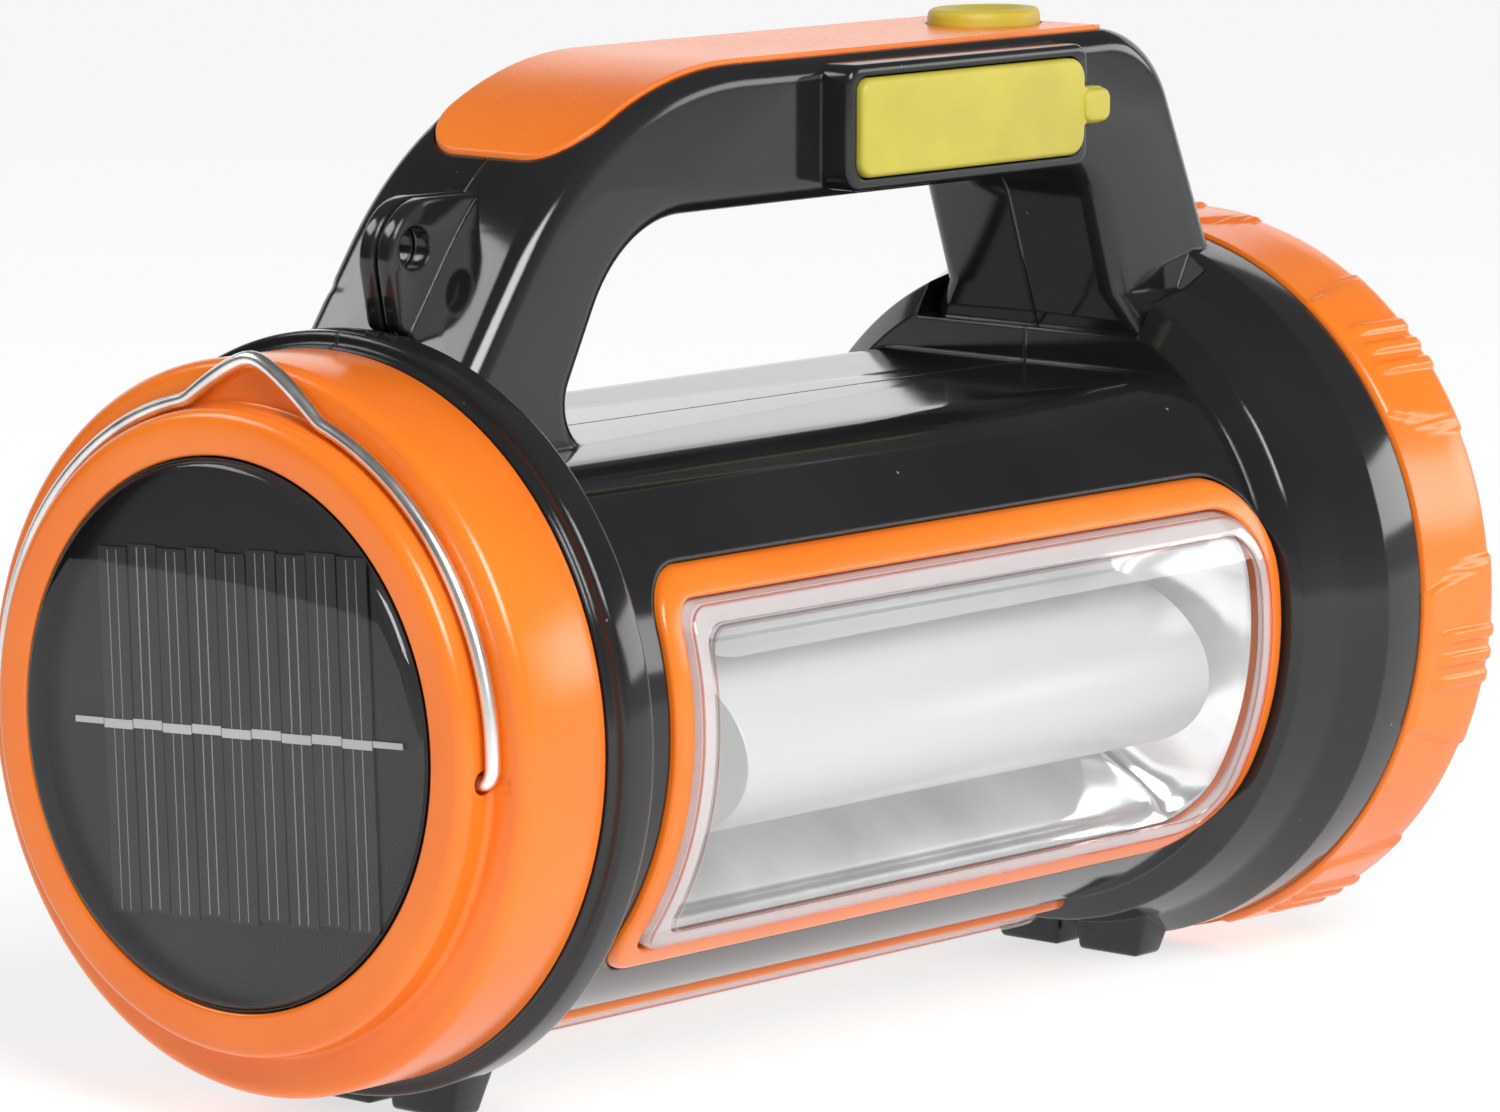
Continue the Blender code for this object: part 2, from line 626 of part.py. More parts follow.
def screw_holes():
    holes = []
    for x, height, side in screw_places():
        z = above(height)
        seat = side - SCREW_DEPTH - SCREW_HEAD_HEIGHT - GAP
        holes.append(rod("screw well", (x, seat, z), (x, side + 6 * MM, z),
                         SCREW_HEAD_RADIUS + GAP, 16))
        holes.append(rod("screw bore", (x, -SCREW_REACH - 1 * MM, z), (x, seat + 1 * MM, z),
                         SCREW_RADIUS + GAP, 12))
    return holes


def make_screws():
    for number, (x, height, side) in enumerate(screw_places(), 1):
        z = above(height)
        head_top = side - SCREW_DEPTH
        head_low = head_top - SCREW_HEAD_HEIGHT
        head = rod("screw", (x, head_low, z), (x, head_top, z), SCREW_HEAD_RADIUS, 16)
        shank = rod("shank", (x, -SCREW_REACH, z), (x, head_low + 0.5 * MM, z),
                    SCREW_RADIUS, 12)
        slot_length, slot_width = 3.4 * MM, 0.8 * MM
        for turn in (0, math.pi / 2):
            slot = box("slot", (-slot_length / 2, -1 * MM, -slot_width / 2),
                       (slot_length / 2, 1 * MM, slot_width / 2))
            slot.location = (x, head_top, z)
            slot.rotation_euler = (0, turn, 0)
            cut(head, slot)
        finish(join(head, shank), f"housing_screw_{number}", STEEL, 0.35, 1.0)


def housing_half(name, side):
    """One half shell: side is +1 for the left half and -1 for the right one.

    The shells carry many cuts that meet on one plane, which the exact solver leaves open.
    """
    solver = "MANIFOLD"
    shell = barrel(name, 0, X_BARREL - 2 * MM, X_FLARE + 1 * MM)
    feet = [foot("foot", side, middle) for middle in (X_BARREL + 5 * MM, X_BAND - 3 * MM)]
    join(shell, flange_solid(), head_solid(), handle_solid(), lug_solid(), *feet,
         solver=solver)
    if side < 0:
        join(shell, socket_block(), solver=solver)
    gap = plate("finger gap", [rounded(finger_gap_outline(DECK_HEIGHT), 5)],
                GAP_HALF_WIDTH, rotation=UPRIGHT, location=AXIS)
    x, height = LUG_CENTRE
    eye = rod("lug eye", (x, -8 * MM, above(height)), (x, 8 * MM, above(height)),
              LUG_HOLE_RADIUS)
    cut(shell, gap, *housing_hollow(), strip_seat(), grip_trough(), eye, solver=solver)
    if side < 0:
        cut(shell, cover_seat(), *socket_openings(), solver=solver)
    side_window = "left" if side > 0 else "right"
    cut(shell, window_opening(side_window), window_opening("belly"), *screw_holes(),
        solver=solver)
    far = 80 * MM
    parting = GAP / 2 * side
    other_half = box("other half", (X_FACE - far, min(parting, -far * side), -far),
                     (X_FRONT + far, max(parting, -far * side), 4 * far))
    cut(shell, other_half, solver=solver)
    return finish(shell, name, BLACK, 0.22)


# ---- Lantern windows --------------------------------------------------------------------
# Each window is modelled looking up (+Z) from the barrel's axis, then turned about it.
WINDOW_TURNS = {"right": WINDOW_TILT, "left": -WINDOW_TILT, "belly": math.pi}
WINDOW_WIDTHS = {"right": SIDE_HALF_WIDTH, "left": SIDE_HALF_WIDTH,
                 "belly": BELLY_HALF_WIDTH}
PAN_DEPTHS = {"right": SIDE_PAN_DEPTH, "left": SIDE_PAN_DEPTH, "belly": BELLY_PAN_DEPTH}
PAN_SLOPES = {"right": SIDE_PAN_SLOPE, "left": SIDE_PAN_SLOPE, "belly": BELLY_PAN_SLOPE}


def turned_to(window):
    return (WINDOW_TURNS[window], 0, 0)


def window_plan(window, inset):
    """Plan outline of a window, drawn in by the given amount from the frame's edge."""
    half = WINDOW_WIDTHS[window] - inset
    rear = max(REAR_CORNER - inset, 1.2 * MM)
    front = max(min(FRONT_CORNER, WINDOW_WIDTHS[window] - 1 * MM) - inset, 1.2 * MM)
    return rounded([
        (WINDOW_REAR_X + inset, -half, rear), (WINDOW_FRONT_X - inset, -half, front),
        (WINDOW_FRONT_X - inset, half, front), (WINDOW_REAR_X + inset, half, rear)], 4)


def window_prism(name, window, inset, low=10 * MM, high=80 * MM):
    prism = plate(name, [window_plan(window, inset)], (high - low) / 2)
    prism.data.transform(Matrix.Translation((0, 0, (low + high) / 2)))
    prism.location = AXIS
    prism.rotation_euler = turned_to(window)
    return prism


def window_opening(window):
    return window_prism("opening", window, -GAP, low=20 * MM)


def curved_slab(name, window, inner, outer):
    """Part of a tube about the barrel's axis, wide enough for a window."""
    half = math.degrees(math.asin(min(0.95, (WINDOW_WIDTHS[window] + 4 * MM) / inner)))
    steps = 14 if window != "belly" else 8
    outline = arc((0, 0), outer, 90 - half, 90 + half, steps)
    outline += arc((0, 0), inner, 90 + half, 90 - half, steps)
    slab = plate(name, [outline], (WINDOW_FRONT_X - WINDOW_REAR_X) / 2 + 3 * MM)
    stand = Matrix.Rotation(math.pi / 2, 4, "Z") @ Matrix.Rotation(math.pi / 2, 4, "X")
    middle = Matrix.Translation(((WINDOW_REAR_X + WINDOW_FRONT_X) / 2, 0, 0))
    slab.data.transform(middle @ stand)
    slab.location = AXIS
    slab.rotation_euler = turned_to(window)
    return slab


def make_frame(window):
    frame = curved_slab("frame", window, FRAME_INNER_RADIUS, FRAME_OUTER_RADIUS)
    common(frame, window_prism("frame rim", window, 0))
    cut(frame, window_prism("frame hole", window, FRAME_BORDER))
    return finish(frame, f"window_frame_{window}", ORANGE, 0.3)


def make_lens(window):
    inset = FRAME_BORDER + GAP
    lens = curved_slab("lens", window, FRAME_INNER_RADIUS, LENS_OUTER_RADIUS)
    common(lens, window_prism("lens rim", window, inset))
    inside = curved_slab("lens inside", window, FRAME_INNER_RADIUS - 6 * MM,
                         LENS_OUTER_RADIUS - LENS_WALL)
    common(inside, window_prism("lens hollow", window, inset + LENS_WALL))
    cut(lens, inside)
    return finish(lens, f"window_lens_{window}", CLEAR, 0.03)


def pan_size(window):
    """Rim and base half-sizes of a pan: (rim x, rim y, base x, base y)."""
    depth = PAN_DEPTHS[window]
    rim_y = WINDOW_WIDTHS[window] - FRAME_BORDER - 1.2 * MM
    if window != "belly":
        rim_y = min(rim_y, math.sqrt(FRAME_INNER_RADIUS ** 2 - PAN_RIM_RADIUS ** 2) - 1 * MM)
    rim_x = (WINDOW_FRONT_X - WINDOW_REAR_X) / 2 - FRAME_BORDER - 1.2 * MM
    lean = depth * PAN_SLOPES[window]
    return rim_x, rim_y, rim_x - lean, rim_y - lean


def pan_rim(window):
    if window == "belly":
        return FRAME_INNER_RADIUS - 2.5 * MM
    return PAN_RIM_RADIUS


def make_pan(window):
    """Chromed tray with sloping walls, open towards the lens."""
    depth = PAN_DEPTHS[window]
    rim_x, rim_y, base_x, base_y = pan_size(window)
    shape = bmesh.new()
    bmesh.ops.create_cube(shape, size=2.0)
    for vertex in shape.verts:
        wide = vertex.co.z > 0
        vertex.co.x *= rim_x if wide else base_x
        vertex.co.y *= rim_y if wide else base_y
        vertex.co.z = 0 if wide else -depth
    walls = [e for e in shape.edges if abs(e.verts[0].co.z - e.verts[1].co.z) > depth / 2]
    bmesh.ops.bevel(shape, geom=walls, offset=5 * MM, segments=3, profile=0.5,
                    affect="EDGES")
    lid = [f for f in shape.faces if f.calc_center_median().z > -depth * 0.01]
    bmesh.ops.delete(shape, geom=lid, context="FACES_ONLY")
    mesh = bpy.data.meshes.new("pan")
    shape.to_mesh(mesh)
    shape.free()
    pan = place("pan", mesh)
    solid = pan.modifiers.new("Wall", "SOLIDIFY")
    solid.thickness = PAN_WALL
    solid.offset = -1
    solid.use_even_offset = True
    mesh = as_mesh(pan, "pan")
    mesh.transform(Matrix.Translation(((WINDOW_REAR_X + WINDOW_FRONT_X) / 2, 0,
                                       pan_rim(window))))
    tray = place("pan", mesh, AXIS, turned_to(window))
    return finish(tray, f"window_reflector_{window}", CHROME, 0.06, 1.0)


def diffuser_size(window):
    """Half length and half width of a diffuser bar."""
    _, _, base_x, base_y = pan_size(window)
    return base_x - PAN_WALL - 3 * MM, base_y - PAN_WALL - 1 * MM


def half_round(name, window, shrink, bottom):
    """A bar along X with a half-elliptic section, shrunk by the given amount."""
    half_x, half_y = diffuser_size(window)
    rise = min(half_y, PAN_DEPTHS[window] - 1 * MM) - shrink
    half_y -= shrink
    steps = 12
    outline = [(half_y * math.cos(math.pi * i / steps), rise * math.sin(math.pi * i / steps))
               for i in range(steps + 1)]
    if bottom < 0:
        outline += [(-half_y, bottom), (half_y, bottom)]
    bar = plate(name, [outline], half_x - shrink)
    stand = Matrix.Rotation(math.pi / 2, 4, "Z") @ Matrix.Rotation(math.pi / 2, 4, "X")
    base = pan_rim(window) - PAN_DEPTHS[window] + PAN_WALL + GAP
    middle = Matrix.Translation(((WINDOW_REAR_X + WINDOW_FRONT_X) / 2, 0, base))
    bar.data.transform(middle @ stand)
    bar.location = AXIS
    bar.rotation_euler = turned_to(window)
    return bar


def make_diffuser(window):
    """Half-round frosted bar over the lantern's light board, hollow underneath."""
    bar = half_round("diffuser", window, 0, 0)
    cut(bar, half_round("diffuser hollow", window, DIFFUSER_WALL, -2 * MM))
    return finish(bar, f"window_diffuser_{window}", WHITE, 0.45)


def make_light_board(window):
    """LED board on the pan's floor, under the diffuser."""
    half_x, half_y = diffuser_size(window)
    low = pan_rim(window) - PAN_DEPTHS[window] + PAN_WALL + GAP
    margin = DIFFUSER_WALL + 2 * GAP
    board = box("board", (-half_x + margin, -half_y + margin, low),
                (half_x - margin, half_y - margin, low + BOARD_THICKNESS))
    middle = Vector(((WINDOW_REAR_X + WINDOW_FRONT_X) / 2, 0, 0))
    board.data.transform(Matrix.Translation(board.location + middle))
    board.location = AXIS
    board.rotation_euler = turned_to(window)
    return finish(board, f"window_board_{window}", WHITE, 0.5)


# ---- Grip strip, button and switch ------------------------------------------------------
def button_outline(grow):
    """Plan view of the button: an oval with slightly pointed ends."""
    half_x = BUTTON_SIZE[0] / 2 + grow
    half_y = BUTTON_SIZE[1] / 2 + grow
    steps = 28
    points = []
    for i in range(steps):
        angle = 2 * math.pi * i / steps
        across, along = math.sin(angle), math.cos(angle)
        points.append((BUTTON_X + half_x * along * (0.9 + 0.1 * abs(along)), half_y * across))
    return points


def button_prism(name, grow, low, high, rounding=0.0):
    return plate(name, [button_outline(grow)], (high - low) / 2, rounding,
                 location=(0, 0, above((low + high) / 2)))


def make_strip():
    strip = common(strip_plan("strip", 0), handle_core("strip skin", 0))
    cut(strip, handle_core("strip core", STRIP_THICKNESS))
    cut(strip, button_prism("button hole", BUTTON_CLEARANCE,
                            HANDLE_TOP - 8 * MM, HANDLE_TOP + 8 * MM))
    return finish(strip, "grip_strip", ORANGE, 0.32)


def make_button():
    cap = button_prism("button", 0, HANDLE_TOP - BUTTON_SKIRT, HANDLE_TOP + BUTTON_RISE,
                       0.9 * MM)
    set_origin(cap, (BUTTON_X, 0, above(HANDLE_TOP)))
    return finish(cap, "button_cap", YELLOW, 0.55)


def make_switch():
    """Tact switch and its board, under the button."""
    travel = 2.0 * MM
    top = HANDLE_TOP - BUTTON_SKIRT - travel
    low = HANDLE_TOP - GRIP_THICKNESS + TROUGH_FLOOR + GAP
    board_top = low + 2.0 * MM
    board = box("switch board", (BUTTON_X - 9 * MM, -6.6 * MM, above(low)),
                (BUTTON_X + 9 * MM, 6.6 * MM, above(board_top)))
    body = box("switch body", (BUTTON_X - 6 * MM, -6 * MM, above(board_top - 1 * MM)),
               (BUTTON_X + 6 * MM, 6 * MM, above(top - 3 * MM)), 0.4 * MM)
    stem = rod("switch stem", (BUTTON_X, 0, above(top - 4 * MM)),
               (BUTTON_X, 0, above(top)), 3.4 * MM)
    return finish(join(board, body, stem), "button_switch", BLACK, 0.5)


# ---- Socket cover and the sockets -------------------------------------------------------
def make_cover():
    """Rubber flap over the sockets, with a raised panel and a pull tab."""
    outer = HANDLE_HALF_WIDTH + BLOCK_DEPTH
    back = outer - COVER_SEAT
    cover = plate("cover", [cover_outline(0)], COVER_THICKNESS / 2, 0.5 * MM,
                  rotation=UPRIGHT, location=(0, -back - COVER_THICKNESS / 2, AXIS_HEIGHT))
    set_origin(cover, cover_hinge())
    return finish(cover, "socket_cover", YELLOW, 0.6)


def cover_hinge():
    """Edge of the cover's rear end, about which it opens."""
    outer = HANDLE_HALF_WIDTH + BLOCK_DEPTH
    return (BLOCK_X - BLOCK_LENGTH / 2 + BLOCK_RIM, -outer - 1 * MM, above(block_height()))


def make_sockets():
    width, height, length = USB_SIZE
    face = -(HANDLE_HALF_WIDTH + BLOCK_DEPTH - COVER_SEAT - GAP)
    z = above(block_height())
    shell = box("usb shell", (usb_place() - width / 2, face, z - height / 2),
                (usb_place() + width / 2, face + length, z + height / 2), 0.3 * MM)
    wall = 0.6 * MM
    mouth = box("usb mouth", (usb_place() - width / 2 + wall, face - 1 * MM,
                              z - height / 2 + wall),
                (usb_place() + width / 2 - wall, face + length - wall, z + height / 2 - wall))
    tongue_half = 1.0 * MM
    tongue = box("usb tongue", (usb_place() - width / 2 + 3 * wall, face + 1 * MM,
                                z + height / 2 - wall - 2.4 * tongue_half),
                 (usb_place() + width / 2 - 3 * wall, face + length - wall / 2,
                  z + height / 2 - wall - 0.6 * tongue_half))
    finish(join(cut(shell, mouth), tongue), "usb_socket", STEEL, 0.3, 1.0)

    jack = rod("jack", (jack_place(), face, z), (jack_place(), face + JACK_LENGTH, z),
               JACK_RADIUS, 24)
    bore = rod("jack bore", (jack_place(), face - 1 * MM, z),
               (jack_place(), face + JACK_LENGTH - 1 * MM, z), JACK_RADIUS - 1 * MM, 24)
    pin = rod("jack pin", (jack_place(), face + 1.5 * MM, z),
              (jack_place(), face + JACK_LENGTH - 0.5 * MM, z), 0.7 * MM, 12)
    finish(join(cut(jack, bore), pin), "charge_socket", BLACK, 0.4)

    board_y = face + length + GAP
    half = BLOCK_LENGTH / 2 - 4 * MM
    board = box("socket board", (BLOCK_X - half, board_y, z - 6 * MM),
                (BLOCK_X + half, board_y + BOARD_THICKNESS, z + 5 * MM))
    finish(board, "socket_board", GREEN, 0.45)


# ---- Rear cap and solar unit ------------------------------------------------------------
def make_rear_cap():
    face_round = arc((X_FACE + LIP_ROUNDING, LIP_RADIUS - LIP_ROUNDING), LIP_ROUNDING,
                     180, 90, 2)
    shoulder_round = arc((GROOVE_X + SHOULDER_ROUNDING, CAP_RADIUS - SHOULDER_ROUNDING),
                         SHOULDER_ROUNDING, 180, 90, 2)
    seat_x = X_FACE + SEAT_DEPTH
    profile = [(X_FACE, CAP_MOUTH_RADIUS), *face_round,
               (GROOVE_X - 0.8 * MM, LIP_RADIUS), (GROOVE_X, LIP_RADIUS + 0.8 * MM),
               *shoulder_round, (X_FLANGE - 0.4 * MM, CAP_RADIUS),
               (X_FLANGE, CAP_RADIUS - 0.4 * MM), (X_FLANGE, CAP_RADIUS - CAP_WALL),
               (GROOVE_X + CAP_WALL, CAP_RADIUS - CAP_WALL),
               (GROOVE_X + CAP_WALL, LIP_RADIUS - CAP_WALL),
               (seat_x + SEAT_THICKNESS, LIP_RADIUS - CAP_WALL),
               (seat_x + SEAT_THICKNESS, CAP_MOUTH_RADIUS - SEAT_WIDTH),
               (seat_x, CAP_MOUTH_RADIUS - SEAT_WIDTH), (seat_x, CAP_MOUTH_RADIUS)]
    cap = turned("cap", profile[::-1], FINE_STEPS)
    for side in (-1, 1):
        inner = side * (BAIL_RADIUS - WIRE_RADIUS - PIN_LENGTH - 1.6 * MM)
        cut(cap, rod("pivot hole", (BAIL_X, inner, above(-PIVOT_DROP)),
                     (BAIL_X, side * (LIP_RADIUS + 3 * MM), above(-PIVOT_DROP)),
                     WIRE_RADIUS + PIN_CLEARANCE, 16))
    return finish(cap, "rear_cap", ORANGE, 0.3)


def make_solar_unit():
    seat_x = X_FACE + SEAT_DEPTH
    radius = CAP_MOUTH_RADIUS - GAP
    base = turned("solar base", [(seat_x - GAP, 0), (seat_x - GAP, radius),
                                 (seat_x - GAP - SOLAR_BASE, radius),
                                 (seat_x - GAP - SOLAR_BASE, 0)], FINE_STEPS)
    finish(base, "solar_base", BLACK, 0.3)

    cell_front = seat_x - GAP - SOLAR_BASE - GAP
    half = SOLAR_CELL_SIZE / 2
    cell = box("cell", (-SOLAR_CELL_THICKNESS / 2, -half, -half),
               (SOLAR_CELL_THICKNESS / 2, half, half))
    cell.location = (cell_front - SOLAR_CELL_THICKNESS / 2, 0, AXIS_HEIGHT)
    cell.rotation_euler = (SOLAR_CELL_TURN, 0, 0)
    finish(cell, "solar_cell", BLACK, 0.35)

    under = cell_front - SOLAR_CELL_THICKNESS - GAP
    apex = X_FACE - DOME_RISE
    edge = radius - DOME_EDGE_ROUNDING
    flank = X_FACE - 1.2 * MM + DOME_EDGE_ROUNDING
    crown = [(apex + (flank - DOME_EDGE_ROUNDING - apex) * (i / 4) ** 2, edge * i / 4)
             for i in range(4)]
    flank_round = arc((flank, edge), DOME_EDGE_ROUNDING, 180, 90, 3)
    dome = turned("dome", [(under, 0), (under, radius), *flank_round[::-1], *crown[::-1]],
                  FINE_STEPS)
    finish(dome, "solar_dome", CLEAR, 0.03)


# ---- Wire bail --------------------------------------------------------------------------
def bail_path():
    """The wire's centre line from one pin, over the top, to the other pin."""
    start = math.asin(-PIVOT_DROP / BAIL_RADIUS)
    steps = 44
    ring = []
    for i in range(steps + 1):
        angle = start + (math.pi - 2 * start) * i / steps
        y, z = BAIL_RADIUS * math.cos(angle), BAIL_RADIUS * math.sin(angle)
        if z > 0 and abs(y) < HOOK_HALF_WIDTH:
            z += HOOK_RISE * math.cos(math.pi * y / 2 / HOOK_HALF_WIDTH) ** 2
        ring.append(Vector((BAIL_X, y, above(z))))
    pin_end = BAIL_RADIUS - WIRE_RADIUS - PIN_LENGTH
    bend = 1.2 * MM
    pins = []
    for side in (1, -1):
        corner = Vector((BAIL_X, side * (BAIL_RADIUS - bend), above(-PIVOT_DROP)))
        tip = Vector((BAIL_X, side * pin_end, above(-PIVOT_DROP)))
        pins.append([tip, corner])
    ring[0].z += bend
    ring[-1].z += bend
    return pins[0] + ring + pins[1][::-1]


def make_bail():
    curve = bpy.data.curves.new("bail", "CURVE")
    curve.dimensions = "3D"
    curve.bevel_depth = WIRE_RADIUS
    curve.bevel_resolution = 2
    curve.use_fill_caps = True
    path = bail_path()
    spline = curve.splines.new("POLY")
    spline.points.add(len(path) - 1)
    pivot = Vector((BAIL_X, 0, above(-PIVOT_DROP)))
    for point, place_at in zip(spline.points, path):
        point.co = (*(place_at - pivot), 1)
    drawn = bpy.data.objects.new("bail", curve)
    CUTTERS.objects.link(drawn)
    bail = place("bail", as_mesh(drawn, "bail"), pivot)
    return finish(bail, "bail_wire", STEEL, 0.2, 1.0)


# ---- Head: bezel, lens, reflector and light ---------------------------------------------
def make_bezel():
    bore = bezel_bore()
    edge = 1.2 * MM
    mouth = BEZEL_RADIUS - BEZEL_WALL - BEZEL_LIP
    profile = [(X_BEZEL + GAP, bore), (X_BEZEL + GAP, BEZEL_RADIUS - 0.5 * MM),
               (X_BEZEL + GAP + 0.5 * MM, BEZEL_RADIUS), (X_FRONT - edge, BEZEL_RADIUS),
               (X_FRONT, BEZEL_RADIUS - edge), (X_FRONT, mouth + edge),
               (X_FRONT - edge, mouth), (X_FRONT - BEZEL_WALL, mouth),
               (X_FRONT - BEZEL_WALL, bore)]
    bezel = turned("bezel", profile, FINE_STEPS)
    rib_low = BEZEL_RADIUS - 1.0 * MM
    rib_high = BEZEL_RADIUS + RIB_RISE
    for group in range(RIB_GROUPS):
        for rib in range(RIBS_PER_GROUP):
            angle = (RIB_PHASE + 2 * math.pi * group / RIB_GROUPS
                     + (rib - (RIBS_PER_GROUP - 1) / 2) * RIB_PITCH)
            bar = box("rib", (X_BEZEL + 5 * MM, -RIB_WIDTH / 2, rib_low),
                      (X_FRONT - edge, RIB_WIDTH / 2, rib_high))
            bar.data.transform(Matrix.Translation(bar.location))
            bar.location = AXIS
            bar.rotation_euler = (angle, 0, 0)
            join(bezel, bar)
    return finish(bezel, "head_bezel", ORANGE, 0.3)


def make_head():
    bore = bezel_bore() - GAP
    lens_x = X_FRONT - BEZEL_WALL - GAP
    lens_back = lens_x - FRONT_LENS_THICKNESS
    lens = turned("front lens", [(lens_x, 0), (lens_x, bore), (lens_back, bore),
                                 (lens_back, 0)], FINE_STEPS)
    finish(lens, "front_lens", CLEAR, 0.03)

    gasket_x = lens_back - GAP
    gasket_back = gasket_x - GASKET_THICKNESS + 2 * GAP
    gasket_inner = bore - 3.4 * MM
    gasket = turned("gasket", [(gasket_x, gasket_inner), (gasket_back, gasket_inner),
                               (gasket_back, bore), (gasket_x, bore)][::-1], FINE_STEPS)
    finish(gasket, "lens_gasket", BLACK, 0.7)

    rim = bezel_bore() - 0.4 * MM - WALL - GAP
    wall = 1.2 * MM
    throat_x = gasket_back - REFLECTOR_DEPTH
    steps = 6
    inner, outer = [], []
    for i in range(steps + 1):
        radius = THROAT_RADIUS + (rim - wall - THROAT_RADIUS) * i / steps
        share = (radius ** 2 - THROAT_RADIUS ** 2) / ((rim - wall) ** 2 - THROAT_RADIUS ** 2)
        inner.append((throat_x + REFLECTOR_DEPTH * share, radius))
        outer.append((throat_x + REFLECTOR_DEPTH * share - (wall if i < steps else 0),
                      radius + wall))
    bowl = turned("bowl", inner + outer[::-1], FINE_STEPS)
    finish(bowl, "head_reflector", CHROME, 0.05, 1.0)

    board_x = throat_x - wall - GAP
    board = rod("light board", (board_x - BOARD_THICKNESS, 0, AXIS_HEIGHT),
                (board_x, 0, AXIS_HEIGHT), 12 * MM, 32)
    chip = box("light chip", (board_x - 0.5 * MM, -3.5 * MM, above(-3.5 * MM)),
               (board_x + 2.4 * MM, 3.5 * MM, above(3.5 * MM)), 0.3 * MM)
    finish(join(board, chip), "head_light_board", WHITE, 0.5)

    sink_x = board_x - BOARD_THICKNESS - GAP
    sink = rod("sink", (sink_x - SINK_LENGTH, 0, AXIS_HEIGHT), (sink_x, 0, AXIS_HEIGHT),
               SINK_RADIUS, 32)
    pitch = 2 * SINK_RADIUS / SINK_FINS
    for i in range(1, SINK_FINS):
        y = -SINK_RADIUS + pitch * i
        cut(sink, box("fin gap", (sink_x - SINK_LENGTH - 1 * MM, y - pitch / 4,
                                  above(-SINK_RADIUS - 1 * MM)),
                      (sink_x - 3 * MM, y + pitch / 4, above(SINK_RADIUS + 1 * MM))))
    finish(sink, "head_heat_sink", STEEL, 0.4, 1.0)


# ---- Battery pack and control board -----------------------------------------------------
def make_battery_pack():
    z = above(-CELL_DROP)
    start, stop = CELL_X - CELL_LENGTH / 2, CELL_X + CELL_LENGTH / 2
    tray_y = CELL_SPACING / 2 + CELL_RADIUS + GAP + TRAY_WALL
    low = z - CELL_RADIUS - GAP - TRAY_WALL
    tray = box("tray", (start - GAP - TRAY_WALL, -tray_y, low),
               (stop + GAP + TRAY_WALL, tray_y, z - 1 * MM), 0.5 * MM)
    for number, side in enumerate((1, -1), 1):
        y = side * CELL_SPACING / 2
        cut(tray, rod("cell seat", (start - GAP, y, z), (stop + GAP, y, z),
                      CELL_RADIUS + GAP, 24))
        cell = rod("cell", (start, y, z), (stop, y, z), CELL_RADIUS, 24)
        finish(cell, f"battery_cell_{number}", (0.05, 0.2, 0.5), 0.4)
    finish(tray, "battery_tray", BLACK, 0.5)

    length, width = CONTROL_BOARD
    board_low = z + CELL_RADIUS + 2 * MM
    board = box("control board", (CELL_X - length / 2, -width / 2, board_low),
                (CELL_X + length / 2, width / 2, board_low + BOARD_THICKNESS))
    for x, y, size, height in ((-24, -6, 12, 3.5), (-2, 7, 9, 2), (22, -5, 14, 5)):
        chip = box("component", (CELL_X + (x - size / 2) * MM, (y - 4) * MM, board_low),
                   (CELL_X + (x + size / 2) * MM, (y + 4) * MM,
                    board_low + BOARD_THICKNESS + height * MM))
        join(board, chip)
    finish(board, "control_board", GREEN, 0.5)


housing_half("housing_left", 1)
housing_half("housing_right", -1)
for window_name in WINDOW_TURNS:
    make_frame(window_name)
    make_lens(window_name)
    make_pan(window_name)
    make_diffuser(window_name)
    make_light_board(window_name)
make_strip()
make_button()
make_switch()
make_cover()
make_sockets()
make_rear_cap()
make_solar_unit()
make_bail()
make_bezel()
make_head()
make_battery_pack()
make_screws()
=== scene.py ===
import math

import bmesh
import bpy
from mathutils import Matrix, Vector


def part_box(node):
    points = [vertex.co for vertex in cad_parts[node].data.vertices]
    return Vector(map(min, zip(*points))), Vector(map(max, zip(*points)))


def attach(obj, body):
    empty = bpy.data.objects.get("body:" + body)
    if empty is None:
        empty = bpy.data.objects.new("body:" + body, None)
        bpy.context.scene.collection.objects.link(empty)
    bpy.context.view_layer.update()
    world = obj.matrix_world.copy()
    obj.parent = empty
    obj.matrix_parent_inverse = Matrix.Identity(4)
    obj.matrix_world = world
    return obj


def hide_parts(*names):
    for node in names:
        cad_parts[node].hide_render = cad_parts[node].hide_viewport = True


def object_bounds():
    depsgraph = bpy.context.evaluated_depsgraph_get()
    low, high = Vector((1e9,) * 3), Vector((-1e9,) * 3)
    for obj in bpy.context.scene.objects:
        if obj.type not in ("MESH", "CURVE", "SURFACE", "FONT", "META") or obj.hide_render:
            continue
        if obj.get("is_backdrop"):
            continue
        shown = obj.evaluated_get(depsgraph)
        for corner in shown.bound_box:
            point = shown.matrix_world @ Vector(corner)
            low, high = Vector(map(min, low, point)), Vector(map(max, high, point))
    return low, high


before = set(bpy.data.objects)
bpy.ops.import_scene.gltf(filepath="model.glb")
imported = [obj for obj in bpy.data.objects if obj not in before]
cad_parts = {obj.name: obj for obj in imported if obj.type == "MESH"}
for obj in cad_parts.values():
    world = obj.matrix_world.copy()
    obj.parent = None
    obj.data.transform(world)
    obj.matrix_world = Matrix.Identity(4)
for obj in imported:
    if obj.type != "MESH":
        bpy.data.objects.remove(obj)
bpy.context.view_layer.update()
MM = 0.001


